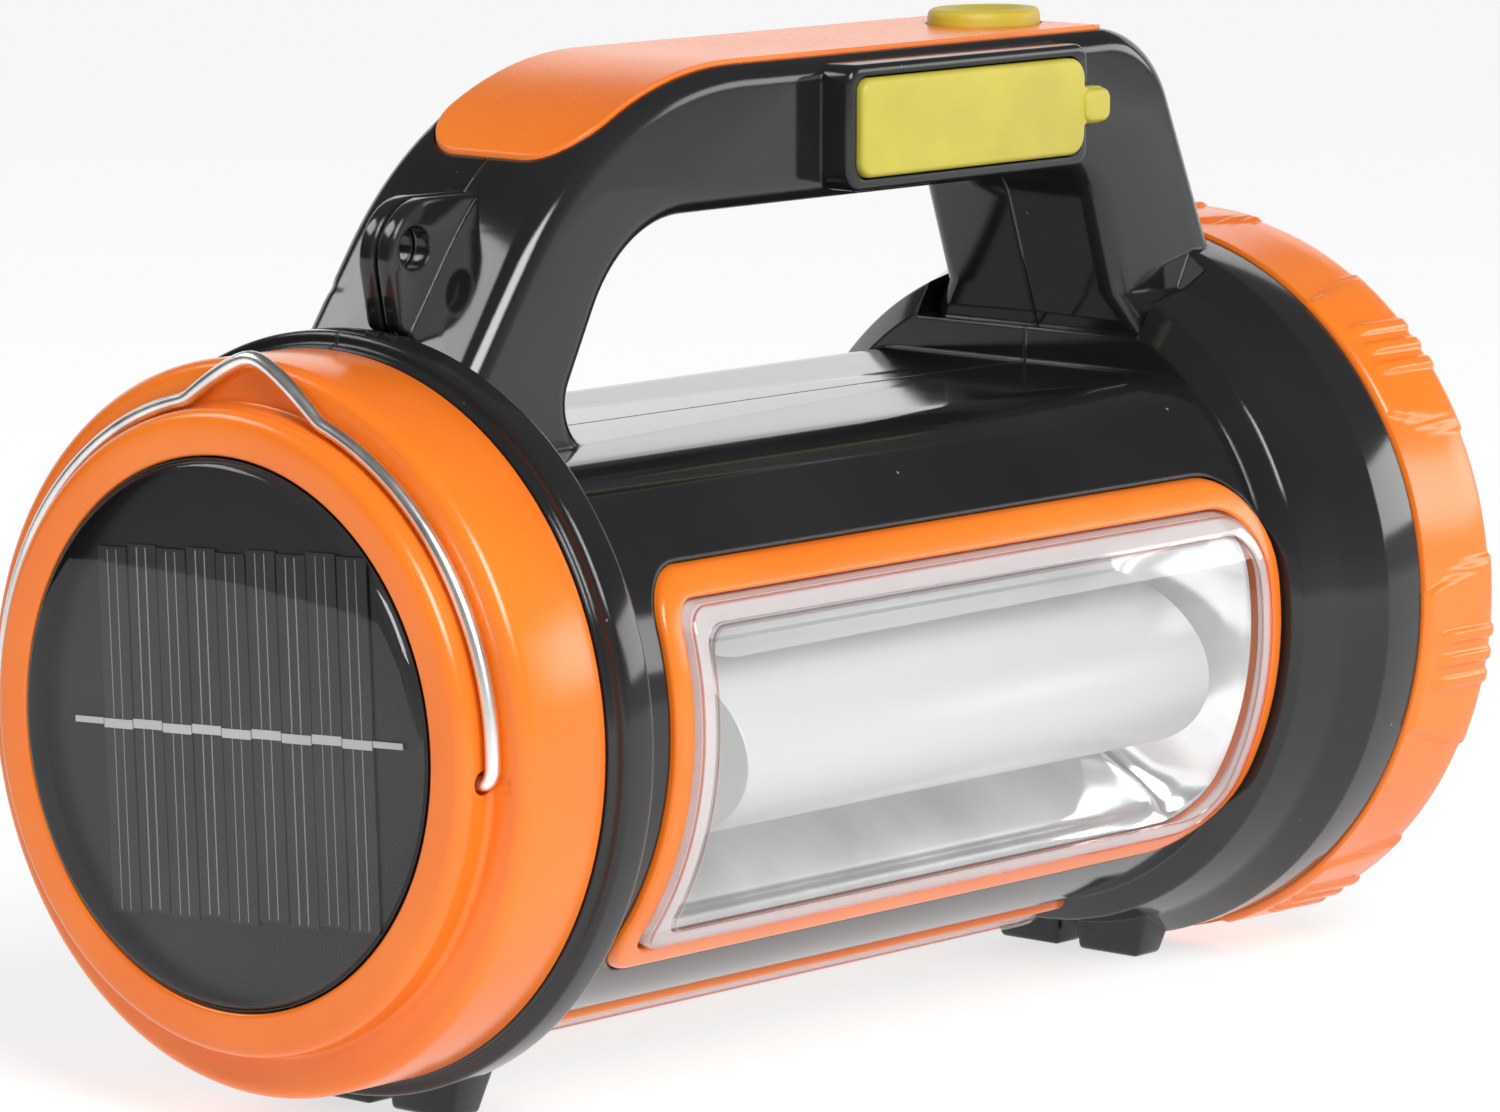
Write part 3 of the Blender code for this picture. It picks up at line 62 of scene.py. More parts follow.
# ---- Studio ----------------------------------------------------------------
# A white table, a large softbox to the right of the camera and two weak ones, and a room
# that darkens upwards. A dark flag on the left keeps the black gloss there from going grey.
class Link:
    """A socket in a node tree. Arithmetic on it adds Math nodes."""

    def __init__(self, tree, socket=None):
        self.tree = tree
        self.socket = socket

    def node(self, kind, settings=None, values=None, out=0):
        made = self.tree.nodes.new(kind)
        for name, value in (settings or {}).items():
            if name == "stops":
                ramp = made.color_ramp
                while len(ramp.elements) < len(value):
                    ramp.elements.new(0.5)
                for stop, (place, grey) in zip(ramp.elements, value):
                    stop.position = place
                    stop.color = (grey, grey, grey, 1)
            else:
                setattr(made, name, value)
        for name, value in (values or {}).items():
            if isinstance(value, Link):
                self.tree.links.new(value.socket, made.inputs[name])
            else:
                made.inputs[name].default_value = value
        return Link(self.tree, made.outputs[out])

    def math(self, operation, *terms):
        return self.node("ShaderNodeMath", {"operation": operation}, dict(enumerate(terms)))

    def __add__(self, other):
        return self.math("ADD", self, other)

    def __rsub__(self, other):
        return self.math("SUBTRACT", other, self)

    def __mul__(self, other):
        return self.math("MULTIPLY", self, other)

    __radd__ = __add__
    __rmul__ = __mul__

    def above(self, limit, soft):
        """0 below the limit, 1 once past it by soft."""
        return self.node("ShaderNodeMapRange", {"clamp": True},
                         {"Value": self, "From Min": limit, "From Max": limit + soft})

    def blend(self, color, other):
        """One colour where this is 0, the other where it is 1."""
        return self.node("ShaderNodeMix", {"data_type": "RGBA"},
                         {0: self, 6: color, 7: other}, out=2)


CAP_LOW, CAP_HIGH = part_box("rear_cap")
AXIS_Z = (CAP_LOW[2] + CAP_HIGH[2]) / 2
FOCAL_LENGTH = 191.33
CAMERA_PLACE = (-0.85415, -0.73479, 0.23372)
CAMERA_AZIMUTH = math.radians(-49.367)
CAMERA_ELEVATION = math.radians(8.359)
CAMERA_ROLL = math.radians(0.207)
PAPER = (1.05, 1.05, 1.05, 1)
TABLE_HALF = 9
ROOM = ((0.0, 0.55), (0.06, 0.50), (0.16, 0.30), (0.42, 0.14), (1.0, 0.10))


def put(name, data):
    """Puts a mesh, curve, lamp or camera into the scene."""
    piece = bpy.data.objects.new(name, data)
    bpy.context.scene.collection.objects.link(piece)
    return piece


def fix(shader, constants):
    for name, value in constants.items():
        shader.inputs[name].default_value = value


def make_softbox(name, direction, distance, width, height, power):
    data = bpy.data.lights.new(name, "AREA")
    data.shape = "RECTANGLE"
    data.size, data.size_y = width, height
    data.energy = power
    lamp = put(name, data)
    away = Vector(direction).normalized()
    lamp.location = Vector((0, 0, AXIS_Z)) + away * distance
    lamp.rotation_euler = away.to_track_quat("Z", "Y").to_euler()
    lamp.visible_camera = False


def make_sheet(name, corners, base, glow):
    mesh = bpy.data.meshes.new(name)
    mesh.from_pydata(corners, [], [(0, 1, 2, 3)])
    paper = bpy.data.materials.new(name)
    paper.use_nodes = True
    fix(paper.node_tree.nodes["Principled BSDF"],
        {"Base Color": (base, base, base, 1), "Roughness": 0.9, "Specular IOR Level": 0.1,
         "Emission Color": (1, 1, 1, 1), "Emission Strength": glow})
    mesh.materials.append(paper)
    piece = put(name, mesh)
    piece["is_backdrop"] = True
    return piece


def make_screen(name, towards, distance, half, height, base, glow):
    """A sheet standing on the table, which the gloss sees and the camera does not."""
    middle = Vector((*towards, 0)) * distance
    across = Vector((-towards[1], towards[0], 0)) * half
    up = Vector((0, 0, height))
    screen = make_sheet(name, [middle - across, middle + across, middle + across + up,
                               middle - across + up], base, glow)
    screen.visible_camera = False


lens = bpy.data.cameras.new("camera")
lens.sensor_width = 36
lens.lens = FOCAL_LENGTH
lens.clip_start, lens.clip_end = 0.05, 60
camera = put("camera", lens)
level = math.cos(CAMERA_ELEVATION)
back = Vector((math.sin(CAMERA_AZIMUTH) * level, -math.cos(CAMERA_AZIMUTH) * level,
               math.sin(CAMERA_ELEVATION)))
aim = (-back).to_track_quat("-Z", "Y").to_matrix() @ Matrix.Rotation(CAMERA_ROLL, 3, "Z")
camera.matrix_world = Matrix.Translation(CAMERA_PLACE) @ aim.to_4x4()
bpy.context.scene.camera = camera

room = bpy.data.worlds.new("room")
room.use_nodes = True
bpy.context.scene.world = room
start = Link(room.node_tree)
height = start.node("ShaderNodeSeparateXYZ", None, {0: start.node("ShaderNodeTexCoord")}, out=2)
shade = start.node("ShaderNodeValToRGB", {"stops": ROOM}, {0: height})
seen = start.node("ShaderNodeLightPath")
start.tree.links.new(seen.blend(shade, PAPER).socket,
                     start.tree.nodes["Background"].inputs["Color"])

make_sheet("table", [(x * TABLE_HALF, y * TABLE_HALF, 0)
                     for x, y in ((-1, -1), (1, -1), (1, 1), (-1, 1))], 0.42, 0.70)
make_screen("backdrop", (0.76, 0.65), 3.6, 4.0, 2.1, 0.2, 1.1)
make_screen("flag", (-0.77, 0.64), 1.7, 1.3, 0.75, 0.03, 0.0)
make_softbox("softbox_right", (-0.36, -0.70, 0.62), 1.9, 0.9, 0.8, 34)
make_softbox("softbox_left", (-0.42, 0.64, 0.62), 1.9, 0.8, 0.55, 8)
make_softbox("softbox_far", (0.80, -0.52, 0.22), 2.2, 1.2, 0.5, 8)
bpy.context.scene.view_settings.view_transform = "Standard"


# ---- Plastics --------------------------------------------------------------
# Glossy moulded ABS in black and in orange. The moulding leaves a faint waviness, and
# handling leaves fine dust and hairline scuffs.
BLACK = (0.0105, 0.0105, 0.0115, 1)
BLACK_WORN = (0.020, 0.020, 0.021, 1)
ORANGE = (0.93, 0.225, 0.022, 1)
ORANGE_DEEP = (0.86, 0.165, 0.010, 1)
DUST = (0.42, 0.42, 0.41, 1)


def new_material(name):
    """A material, its shader, and a link to the place on the piece."""
    made = bpy.data.materials.new(name)
    made.use_nodes = True
    where = Link(made.node_tree).node("ShaderNodeTexCoord", out=3)
    return made, made.node_tree.nodes["Principled BSDF"], where


def feed(shader, links):
    for name, value in links.items():
        value.tree.links.new(value.socket, shader.inputs[name])


def noise(where, scale, detail, rough=0.5):
    return where.node("ShaderNodeTexNoise", None,
                      {"Vector": where, "Scale": scale, "Detail": detail, "Roughness": rough})


def relief(height, strength, distance=0.1 * MM, more=None):
    return height.node("ShaderNodeBump", None, {"Strength": strength, "Distance": distance,
                                                "Height": height, **(more or {})})


def moulded(name, color, worn, roughness, dust=0.0, wave=0.10, edge=0.0):
    """Moulded plastic: faint colour drift, scuffs in the gloss, dust and waviness."""
    made, shader, where = new_material(name)
    tone = noise(where, 22.0, 3.0).above(0.35, 0.4).blend(color, worn)
    if dust:
        specks = where.node("ShaderNodeTexVoronoi", None, {"Vector": where, "Scale": 260.0})
        grain = (1 - specks.above(0.045, 0.02)) * noise(where, 150.0, 0.0).above(0.66, 0.03)
        tone = (grain * dust).blend(tone, DUST)
    scuffs = noise(where, 60.0, 6.0, 0.7)
    waves = noise(where, 45.0, 1.0) + noise(where, 2600.0, 2.0) * 0.05
    rounding = {}
    if edge:
        rounding["Normal"] = where.node("ShaderNodeBevel", {"samples": 6}, {"Radius": edge})
    feed(shader, {"Base Color": tone, "Roughness": scuffs * 0.08 + (roughness - 0.04),
                  "Normal": relief(waves, wave, 0.4 * MM, rounding)})
    fix(shader, {"IOR": 1.5})
    return made


black_housing = moulded("black_housing", BLACK, BLACK_WORN, 0.10, dust=0.6, edge=0.7 * MM)
orange_gloss = moulded("orange_gloss", ORANGE, ORANGE_DEEP, 0.22, wave=0.12)


# ---- Rear cap --------------------------------------------------------------
# A turned orange shell pressed over the housing's neck. Its lip holds the solar unit,
# and the wire bail lies in the groove behind the lip, with its ends in two holes.
CAP_X, FLANGE_X = CAP_LOW[0], CAP_HIGH[0]
CAP_RADIUS = (CAP_HIGH[2] - CAP_LOW[2]) / 2
CAP_WALL = 2.5 * MM
LIP_RADIUS = 43.7 * MM
MOUTH_RADIUS = 37.4 * MM
GROOVE_X = CAP_X + 5.2 * MM
WIRE_X = GROOVE_X - 1.5 * MM
PIVOT_Z = AXIS_Z - 1.8 * MM
HOLE_RADIUS = 1.65 * MM
TURNED_STEPS = 160


def soften(corners, closed=False, steps=5):
    """Rounds (a, b, radius) corners of an outline into short arcs."""
    line = []
    count = len(corners)
    for i, (a, b, radius) in enumerate(corners):
        end = not closed and i in (0, count - 1)
        if radius == 0 or end:
            line.append((a, b))
            continue
        corner = Vector((a, b))
        before = (Vector(corners[i - 1][:2]) - corner).normalized()
        after = (Vector(corners[(i + 1) % count][:2]) - corner).normalized()
        half = before.angle(after) / 2
        centre = corner + (before + after).normalized() * radius / math.sin(half)
        first = corner + before * radius / math.tan(half) - centre
        last = corner + after * radius / math.tan(half) - centre
        turn = first.angle_signed(last)
        for k in range(steps + 1):
            point = centre + Matrix.Rotation(-turn * k / steps, 2) @ first
            line.append((point.x, point.y))
    return line


def add_piece(name, mesh, material, node=None, body="lamp", sharp=40):
    """Puts a mesh on a body, smooth except at corners sharper than the given angle."""
    piece = put(name, mesh)
    mesh.shade_smooth()
    mesh.set_sharp_from_angle(angle=math.radians(sharp))
    mesh.materials.clear()
    mesh.materials.append(material)
    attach(piece, body)
    if node:
        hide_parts(node)


def mesh_of(name, shape):
    """Ends a bmesh: its faces look outwards, and it becomes a mesh."""
    bmesh.ops.recalc_face_normals(shape, faces=shape.faces)
    mesh = bpy.data.meshes.new(name)
    shape.to_mesh(mesh)
    shape.free()
    return mesh


def skin(name, rings, closed=False, caps=()):
    """Joins rings of points, each to the next. A ring of one point closes an end."""
    shape = bmesh.new()
    rows = [[shape.verts.new(point) for point in ring] for ring in rings]
    count = max(len(row) for row in rows)
    pairs = list(zip(rows, rows[1:]))
    if closed:
        pairs.append((rows[-1], rows[0]))
    for one, two in pairs:
        for k in range(count):
            after = (k + 1) % count
            corners = dict.fromkeys((one[k % len(one)], one[after % len(one)],
                                     two[after % len(two)], two[k % len(two)]))
            if len(corners) > 2:
                shape.faces.new(list(corners))
    for end in caps:
        shape.faces.new(rows[end])
    return mesh_of(name, shape)


def turned(x, radius, angle):
    """A point at this radius and angle about the barrel's axis."""
    return (x, -radius * math.cos(angle), AXIS_Z + radius * math.sin(angle))


def turned_mesh(name, profile, closed=True):
    """(x, radius) points turned about the barrel's axis; a radius of 0 closes an end."""
    rings = [[turned(x, radius, 2 * math.pi * k / TURNED_STEPS)
              for k in range(TURNED_STEPS if radius > 0 else 1)] for x, radius in profile]
    return skin(name, rings, closed and len(rings[0]) > 1 and len(rings[-1]) > 1)


def carve(mesh, tools, operation="DIFFERENCE", solver="MANIFOLD"):
    """Cuts tools out of a mesh, or joins them to it, and returns the new mesh."""
    piece = put(mesh.name, mesh)
    helpers = [put(tool.name, tool) for tool in tools]
    for helper in helpers:
        change = piece.modifiers.new("carve", "BOOLEAN")
        change.operation = operation
        change.solver = solver
        change.object = helper
    bpy.context.view_layer.update()
    graph = bpy.context.evaluated_depsgraph_get()
    result = bpy.data.meshes.new_from_object(piece.evaluated_get(graph))
    for used in (piece, *helpers):
        bpy.data.objects.remove(used, do_unlink=True)
    return result


def rod_mesh(name, start, end, radius, steps=32):
    start, end = Vector(start), Vector(end)
    shape = bmesh.new()
    bmesh.ops.create_cone(shape, cap_ends=True, segments=steps, radius1=radius,
                          radius2=radius, depth=(end - start).length)
    turn = (end - start).to_track_quat("Z", "Y").to_matrix().to_4x4()
    bmesh.ops.transform(shape, matrix=Matrix.Translation((start + end) / 2) @ turn,
                        verts=shape.verts)
    return mesh_of(name, shape)


cap_mesh = turned_mesh("rear_cap_shell", soften([
    (CAP_X + 5.0 * MM, MOUTH_RADIUS, 0), (CAP_X, MOUTH_RADIUS, 0.7 * MM),
    (CAP_X, LIP_RADIUS, 1.9 * MM), (GROOVE_X, LIP_RADIUS, 0.9 * MM),
    (GROOVE_X - 0.1 * MM, CAP_RADIUS, 2.0 * MM), (FLANGE_X, CAP_RADIUS, 0.5 * MM),
    (FLANGE_X, CAP_RADIUS - CAP_WALL, 0), (GROOVE_X + 2.5 * MM, CAP_RADIUS - CAP_WALL, 0),
    (GROOVE_X + 2.5 * MM, LIP_RADIUS - CAP_WALL, 0), (CAP_X + 7.0 * MM, LIP_RADIUS - CAP_WALL, 0),
    (CAP_X + 7.0 * MM, MOUTH_RADIUS - 3.0 * MM, 0),
    (CAP_X + 5.0 * MM, MOUTH_RADIUS - 3.0 * MM, 0)], closed=True))
holes = [rod_mesh("hole", (WIRE_X, side * 40 * MM, PIVOT_Z), (WIRE_X, side * 47 * MM, PIVOT_Z),
                  HOLE_RADIUS, 24) for side in (-1, 1)]
add_piece("rear_cap_shell", carve(cap_mesh, holes, solver="EXACT"), orange_gloss,
          "rear_cap")


# ---- Solar unit ------------------------------------------------------------
# A dark silicon cell of nine strips with silver contact lines, set on a black disc
# and sealed under a slightly domed pour of clear resin.
DOME_LOW, DOME_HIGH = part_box("solar_dome")
DOME_RADIUS = (DOME_HIGH[2] - DOME_LOW[2]) / 2
DOME_DEPTH = 2.0 * MM
BOWL_RADIUS = DOME_RADIUS * 0.94
CELL_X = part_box("solar_cell")[0][0]
CELL_HALF = 25.0 * MM
CELL_TURN = Matrix.Rotation(math.radians(-2.8), 4, "X")
STRIP_LEANS = (0.05, 0.0, 0.09, 0.03, 0.0, 0.07, 0.02, 0.08, 0.0)
STRIP_DROPS = (0.3, 0.0, 0.5, 0.2, 0.9, 0.4, 0.8, 0.5, 1.0)
STRIP_PITCH = 2 * CELL_HALF / len(STRIP_LEANS)
STRIP_GAP = 0.12 * MM
LINE_WIDTH = 0.12 * MM
LINE_SHARES = (0.36, 0.66)


def clear_sheet(name, tint, strength=1.0, rough=0.02):
    """A clear pane: see-through, with mirror gloss that grows towards its edges."""
    made, shader, where = new_material(name)
    smear = noise(where, 40.0, 5.0)
    rim = where.node("ShaderNodeFresnel", None, {"IOR": 1.5})
    inner_face = where.node("ShaderNodeNewGeometry", out=6)
    through = where.node("ShaderNodeBsdfTransparent", None, {"Color": tint})
    feed(shader, {"Roughness": smear * 0.03 + rough, "Normal": relief(smear, 0.06, 0.3 * MM)})
    fix(shader, {"Base Color": (0.9, 0.9, 0.9, 1), "Metallic": 1.0})
    share = where.math("MINIMUM", rim * strength + smear * 0.02, 1.0) * (1 - inner_face)
    mixed = where.node("ShaderNodeMixShader", None,
                       {0: share, 1: through, 2: Link(where.tree, shader.outputs[0])})
    feed(where.tree.nodes["Material Output"], {"Surface": mixed})
    return made


def add_block(shape, low, high):
    """Adds a block between two corners to a bmesh."""
    low, high = Vector(low), Vector(high)
    verts = bmesh.ops.create_cube(shape, size=1.0)["verts"]
    bmesh.ops.transform(shape, matrix=Matrix.Translation((low + high) / 2)
                        @ Matrix.Diagonal((*(high - low), 1.0)), verts=verts)


apex = DOME_LOW[0]
bowl = [(apex + DOME_DEPTH * (i / 10) ** 2.2, BOWL_RADIUS * i / 10) for i in range(11)]
wall = soften([(apex + DOME_DEPTH, BOWL_RADIUS, 0),
               (apex + DOME_DEPTH + 0.3 * MM, DOME_RADIUS - 0.15 * MM, 1.6 * MM),
               (CELL_X - 0.2 * MM, DOME_RADIUS - 0.15 * MM, 0), (CELL_X - 0.2 * MM, 0, 0)],
              steps=6)
resin = clear_sheet("clear_resin", (0.92, 0.92, 0.92, 1), 0.62, 0.01)
add_piece("solar_dome_resin", turned_mesh("resin", bowl + wall[1:], closed=False),
          resin, "solar_dome", sharp=60)

cup = turned_mesh("solar_disc", [
    (CELL_X + 0.5 * MM, 0), (CELL_X + 0.5 * MM, DOME_RADIUS - 0.1 * MM),
    (CAP_X + 0.1 * MM, DOME_RADIUS - 0.1 * MM), (CAP_X + 0.1 * MM, DOME_RADIUS + 0.1 * MM),
    (CELL_X + 1.5 * MM, DOME_RADIUS + 0.1 * MM), (CELL_X + 1.5 * MM, 0)])
black_disc = moulded("black_disc", (0.006, 0.006, 0.007, 1), (0.010, 0.010, 0.011, 1), 0.35,
                     wave=0.02)
add_piece("solar_base_disc", cup, black_disc, "solar_base")

strips, lines, ribbon = bmesh.new(), bmesh.new(), bmesh.new()
for strip, (lean, drop) in enumerate(zip(STRIP_LEANS, STRIP_DROPS)):
    left = -CELL_HALF + strip * STRIP_PITCH
    lean, drop = lean * MM, drop * MM
    add_block(strips, (lean, left + STRIP_GAP, -CELL_HALF - drop),
              (0.30 * MM, left + STRIP_PITCH - STRIP_GAP, CELL_HALF - drop))
    for share in LINE_SHARES:
        y = left + STRIP_PITCH * share
        add_block(lines, (-0.03 * MM, y - LINE_WIDTH / 2, -CELL_HALF - drop + 0.4 * MM),
                  (lean, y + LINE_WIDTH / 2, CELL_HALF - drop - 0.4 * MM))
for dash in range(-1, len(STRIP_LEANS) + 1):
    left = -CELL_HALF + dash * STRIP_PITCH
    half = (0.62 if 0 <= dash < len(STRIP_LEANS) else 0.42) * MM
    step = (0.12 if dash % 2 else -0.12) * MM
    add_block(ribbon, (-0.16 * MM, left + STRIP_GAP, step - half),
              (0, left + STRIP_PITCH - STRIP_GAP, step + half))

silicon, shader, where = new_material("dark_silicon")
cloud = noise(where, 70.0, 2.0)
feed(shader, {"Base Color": cloud.blend((0.022, 0.023, 0.026, 1), (0.040, 0.041, 0.045, 1)),
              "Roughness": cloud * 0.15 + 0.35})
contact = moulded("contact_silver", (0.40, 0.40, 0.39, 1), (0.30, 0.30, 0.29, 1), 0.4)
solder = moulded("solder_ribbon", (0.78, 0.78, 0.75, 1), (0.60, 0.60, 0.57, 1), 0.4)
for name, shape, material, node in (("solar_cell_strips", strips, silicon, "solar_cell"),
                                    ("solar_contact_lines", lines, contact, None),
                                    ("solar_contact_bar", ribbon, solder, None)):
    mesh = mesh_of(name, shape)
    mesh.transform(Matrix.Translation((CELL_X + 0.1 * MM, 0, AXIS_Z)) @ CELL_TURN)
    add_piece(name, mesh, material, node)


# ---- Wire bail -------------------------------------------------------------
# One length of bright spring wire, bent to the cap's round with a raised hook bend at
# the top, its two ends turned into holes in the cap's groove.
WIRE_RADIUS = 1.05 * MM
BAIL_RADIUS = LIP_RADIUS + 1.5 * MM
BAIL_SLACK = 1.7 * MM
BAIL_STEPS = 150
BEND = 1.6 * MM
TIP_Y = 40.6 * MM
HOOK_HALF = 12.5 * MM
HOOK_RISE = 5.4 * MM
HOOK_Y = -2.4 * MM


def curve_mesh(name, lines, closed, **settings):
    """Draws lines of points as one curve, and returns the mesh that its settings make."""
    curve = bpy.data.curves.new(name, "CURVE")
    for setting, value in settings.items():
        setattr(curve, setting, value)
    for line in lines:
        spline = curve.splines.new("POLY")
        spline.points.add(len(line) - 1)
        for point, place in zip(spline.points, line):
            point.co = (*place, 1)
        spline.use_cyclic_u = closed
    drawn = put(name, curve)
    bpy.context.view_layer.update()
    graph = bpy.context.evaluated_depsgraph_get()
    rough_mesh = bpy.data.meshes.new_from_object(drawn.evaluated_get(graph))
    bpy.data.objects.remove(drawn, do_unlink=True)
    shape = bmesh.new()
    shape.from_mesh(rough_mesh)
    bpy.data.meshes.remove(rough_mesh)
    bmesh.ops.remove_doubles(shape, verts=shape.verts, dist=0.004 * MM)
    return mesh_of(name, shape)


def tube_mesh(name, path, radius, resolution=5, closed=False):
    return curve_mesh(name, [path], closed, dimensions="3D", bevel_depth=radius,
                      bevel_resolution=resolution, use_fill_caps=not closed)


def toned(color, share):
    return tuple(c * share for c in color[:3]) + (1,)


def metal(name, color, roughness, grain, stretch=(1, 1, 1), glow=0.0):
    """Bare metal with a fine grain drawn along one direction. Glow adds a painted glow: emission
    that stands in for light falling on the metal.
    """
    made, shader, where = new_material(name)
    drawn = where.node("ShaderNodeMapping", None, {"Vector": where, "Scale": stretch})
    fine = noise(drawn, grain, 3.0)
    feed(shader, {"Base Color": fine.above(0.3, 0.4).blend(toned(color, 0.72), color),
                  "Roughness": fine * 0.12 + (roughness - 0.06), "Normal": relief(fine, 0.15)})
    # Emission Strength is painted light: a glow on metal that is no lamp.
    fix(shader, {"Metallic": 1.0, "Emission Color": (1, 1, 1, 1), "Emission Strength": glow})
    return made


first_angle = math.asin(BEND / BAIL_RADIUS)
path = []
for i in range(BAIL_STEPS + 1):
    angle = first_angle + (math.pi - 2 * first_angle) * i / BAIL_STEPS
    radius = BAIL_RADIUS + BAIL_SLACK * math.sin(angle) ** 0.7
    y = radius * math.cos(angle)
    z = radius * math.sin(angle) - (AXIS_Z - PIVOT_Z)
    hook = (1 - math.sqrt(((y - HOOK_Y) / HOOK_HALF) ** 2 + 0.04)) / 0.8
    if z > 0 and hook > 0:
        z += HOOK_RISE * hook
    path.append((WIRE_X, y, AXIS_Z + z))
for side in (1, -1):
    end = [(WIRE_X, side * TIP_Y, PIVOT_Z)]
    for k in range(5):
        angle = math.pi / 2 * k / 5
        end.append((WIRE_X, side * (BAIL_RADIUS - BEND + BEND * math.sin(angle)),
                    PIVOT_Z + BEND - BEND * math.cos(angle)))
    path = end + path if side > 0 else path + end[::-1]
wire = metal("bright_wire", (0.97, 0.96, 0.94, 1), 0.32, 250.0, (1.0, 1.0, 0.2))
add_piece("bail_wire_bent", tube_mesh("bail", path, WIRE_RADIUS), wire, "bail_wire",
          "bail", sharp=60)


# ---- Housing ---------------------------------------------------------------
# Two black half shells screwed together on the middle plane: a round barrel with a flat
# deck on top, a flange at the rear, a flared head, the carrying handle, the lug, the feet
# and the socket block.
BEZEL_LOW, BEZEL_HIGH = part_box("head_bezel")
FRAME_LOW, FRAME_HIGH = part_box("window_frame_right")
SHELL_LOW, SHELL_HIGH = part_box("housing_right")
BARREL_RADIUS = 46 * MM
BARREL_X = FLANGE_X + 7.5 * MM
WALL = 2.4 * MM
SEAM = 0.11 * MM
DECK = 35 * MM
DECK_FILLET = 14 * MM
FLANGE_RADIUS = 52.2 * MM
HEAD_RADIUS = -SHELL_LOW[1]
FLARE_X = FRAME_HIGH[0] + 0.6 * MM
BAND_X = FLARE_X + 15 * MM
BEZEL_X = BEZEL_LOW[0] - 0.3 * MM
NECK_X = BEZEL_HIGH[0] - 7 * MM

HANDLE_HALF = 17 * MM
HANDLE_TOP = SHELL_HIGH[2] - AXIS_Z
HANDLE_RIM = 3.4 * MM
LEG_ROOT = 30 * MM
REAR_LEAN, FRONT_LEAN = 54.8, -65.7
GAP_TOP = HANDLE_TOP - 20.4 * MM
GAP_REAR = BARREL_X + 19.2 * MM
GAP_FRONT = FLARE_X + 2.1 * MM
GAP_REAR_LEAN, GAP_FRONT_LEAN = 62.7, -70.2
KINK = 46 * MM
STEP_TOP = DECK + 5 * MM
STEP_HALF = 21 * MM

STRIP_HALF = 14.4 * MM
STRIP_REAR, STRIP_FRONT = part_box("grip_strip")[0][0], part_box("grip_strip")[1][0]
COVER_LOW, COVER_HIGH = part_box("socket_cover")
COVER_HALF = (COVER_HIGH[2] - COVER_LOW[2]) / 2
COVER_MIDDLE = (COVER_LOW[2] + COVER_HIGH[2]) / 2 - AXIS_Z
COVER_TAB = 5.0 * MM
BLOCK_RIM = 1.9 * MM
BLOCK_FACE = -(HANDLE_HALF + 5.2 * MM)
LUG_X, LUG_RISE = FLANGE_X + 13.6 * MM, HANDLE_TOP - 22.6 * MM
EYE_RADIUS = 3.0 * MM
FEET = ((BARREL_X + 0.5 * MM, BARREL_X + 9.5 * MM), (BAND_X - 7.5 * MM, BAND_X + 1.5 * MM))
INWARDS = -8 * MM
FAR = 90 * MM

# A window's turn about the barrel's axis in degrees, and half its width.
WINDOWS = {"right": (99.5, 0.617 * BARREL_RADIUS), "left": (-99.5, 0.617 * BARREL_RADIUS),
           "belly": (180.0, 0.296 * BARREL_RADIUS)}
WINDOW_REAR_CORNER, WINDOW_FRONT_CORNER = 7 * MM, 13 * MM
LEAST_CORNER = 3.4 * MM


def plate_mesh(name, outlines, half, rounding=0.0, inset=0.0, resolution=5, flat=False,
               place=(0, 0, 0)):
    """Outlines given a thickness both ways, with rounded rims. They are seen from the
    lamp's right, or from above when flat."""
    lines = [[(x, y, 0) for x, y in outline] for outline in outlines]
    mesh = curve_mesh(name, lines, True, dimensions="2D", fill_mode="BOTH",
                      extrude=half - rounding, bevel_depth=rounding,
                      bevel_resolution=resolution, offset=-rounding - inset)
    if not flat:
        mesh.transform(Matrix.Translation((0, 0, AXIS_Z))
                       @ Matrix.Rotation(math.pi / 2, 4, "X"))
    mesh.transform(Matrix.Translation(place))
    return mesh


def slope_x(x, lean, rise):
    return x + rise / math.tan(math.radians(lean))


def handle_side():
    rise = HANDLE_TOP - LEG_ROOT
    rear, front = FLANGE_X - 2.3 * MM, BEZEL_X + 7.0 * MM
    return soften([(rear, LEG_ROOT, 0), (front, LEG_ROOT, 0),
                   (slope_x(front, FRONT_LEAN, rise), HANDLE_TOP, 17.7 * MM),
                   (slope_x(rear, REAR_LEAN, rise), HANDLE_TOP, 56 * MM)], True, 22)


def gap_side():
    rise = GAP_TOP - DECK
    return soften([(GAP_REAR, DECK, 6 * MM), (GAP_FRONT, DECK, 2 * MM),
                   (slope_x(GAP_FRONT, GAP_FRONT_LEAN, rise), GAP_TOP, 8 * MM),
                   (slope_x(GAP_REAR, GAP_REAR_LEAN, rise), GAP_TOP, 21.3 * MM)], True, 14)


def barrel_mesh(name, inset, rear, front):
    """The barrel's section, a circle cut off by the deck with rounded corners."""
    radius, deck, fillet = BARREL_RADIUS - inset, DECK - inset, DECK_FILLET - inset
    middle = math.sqrt((radius - fillet) ** 2 - (deck - fillet) ** 2)
    tangent = math.atan2(deck - fillet, middle)
    line = []
    for k in range(9):
        angle = tangent + (math.pi / 2 - tangent) * k / 8
        line.append((middle + fillet * math.cos(angle), deck - fillet + fillet * math.sin(angle)))
    line += [(-y, z) for y, z in line[::-1]]
    for k in range(1, 120):
        angle = math.pi - tangent + (math.pi + 2 * tangent) * k / 120
        line.append((radius * math.cos(angle), radius * math.sin(angle)))
    mesh = plate_mesh(name, [line], (front - rear) / 2, flat=True)
    mesh.transform(Matrix.Translation(((rear + front) / 2, 0, AXIS_Z))
                   @ Matrix.Rotation(math.pi / 2, 4, "Z") @ Matrix.Rotation(math.pi / 2, 4, "X"))
    return mesh


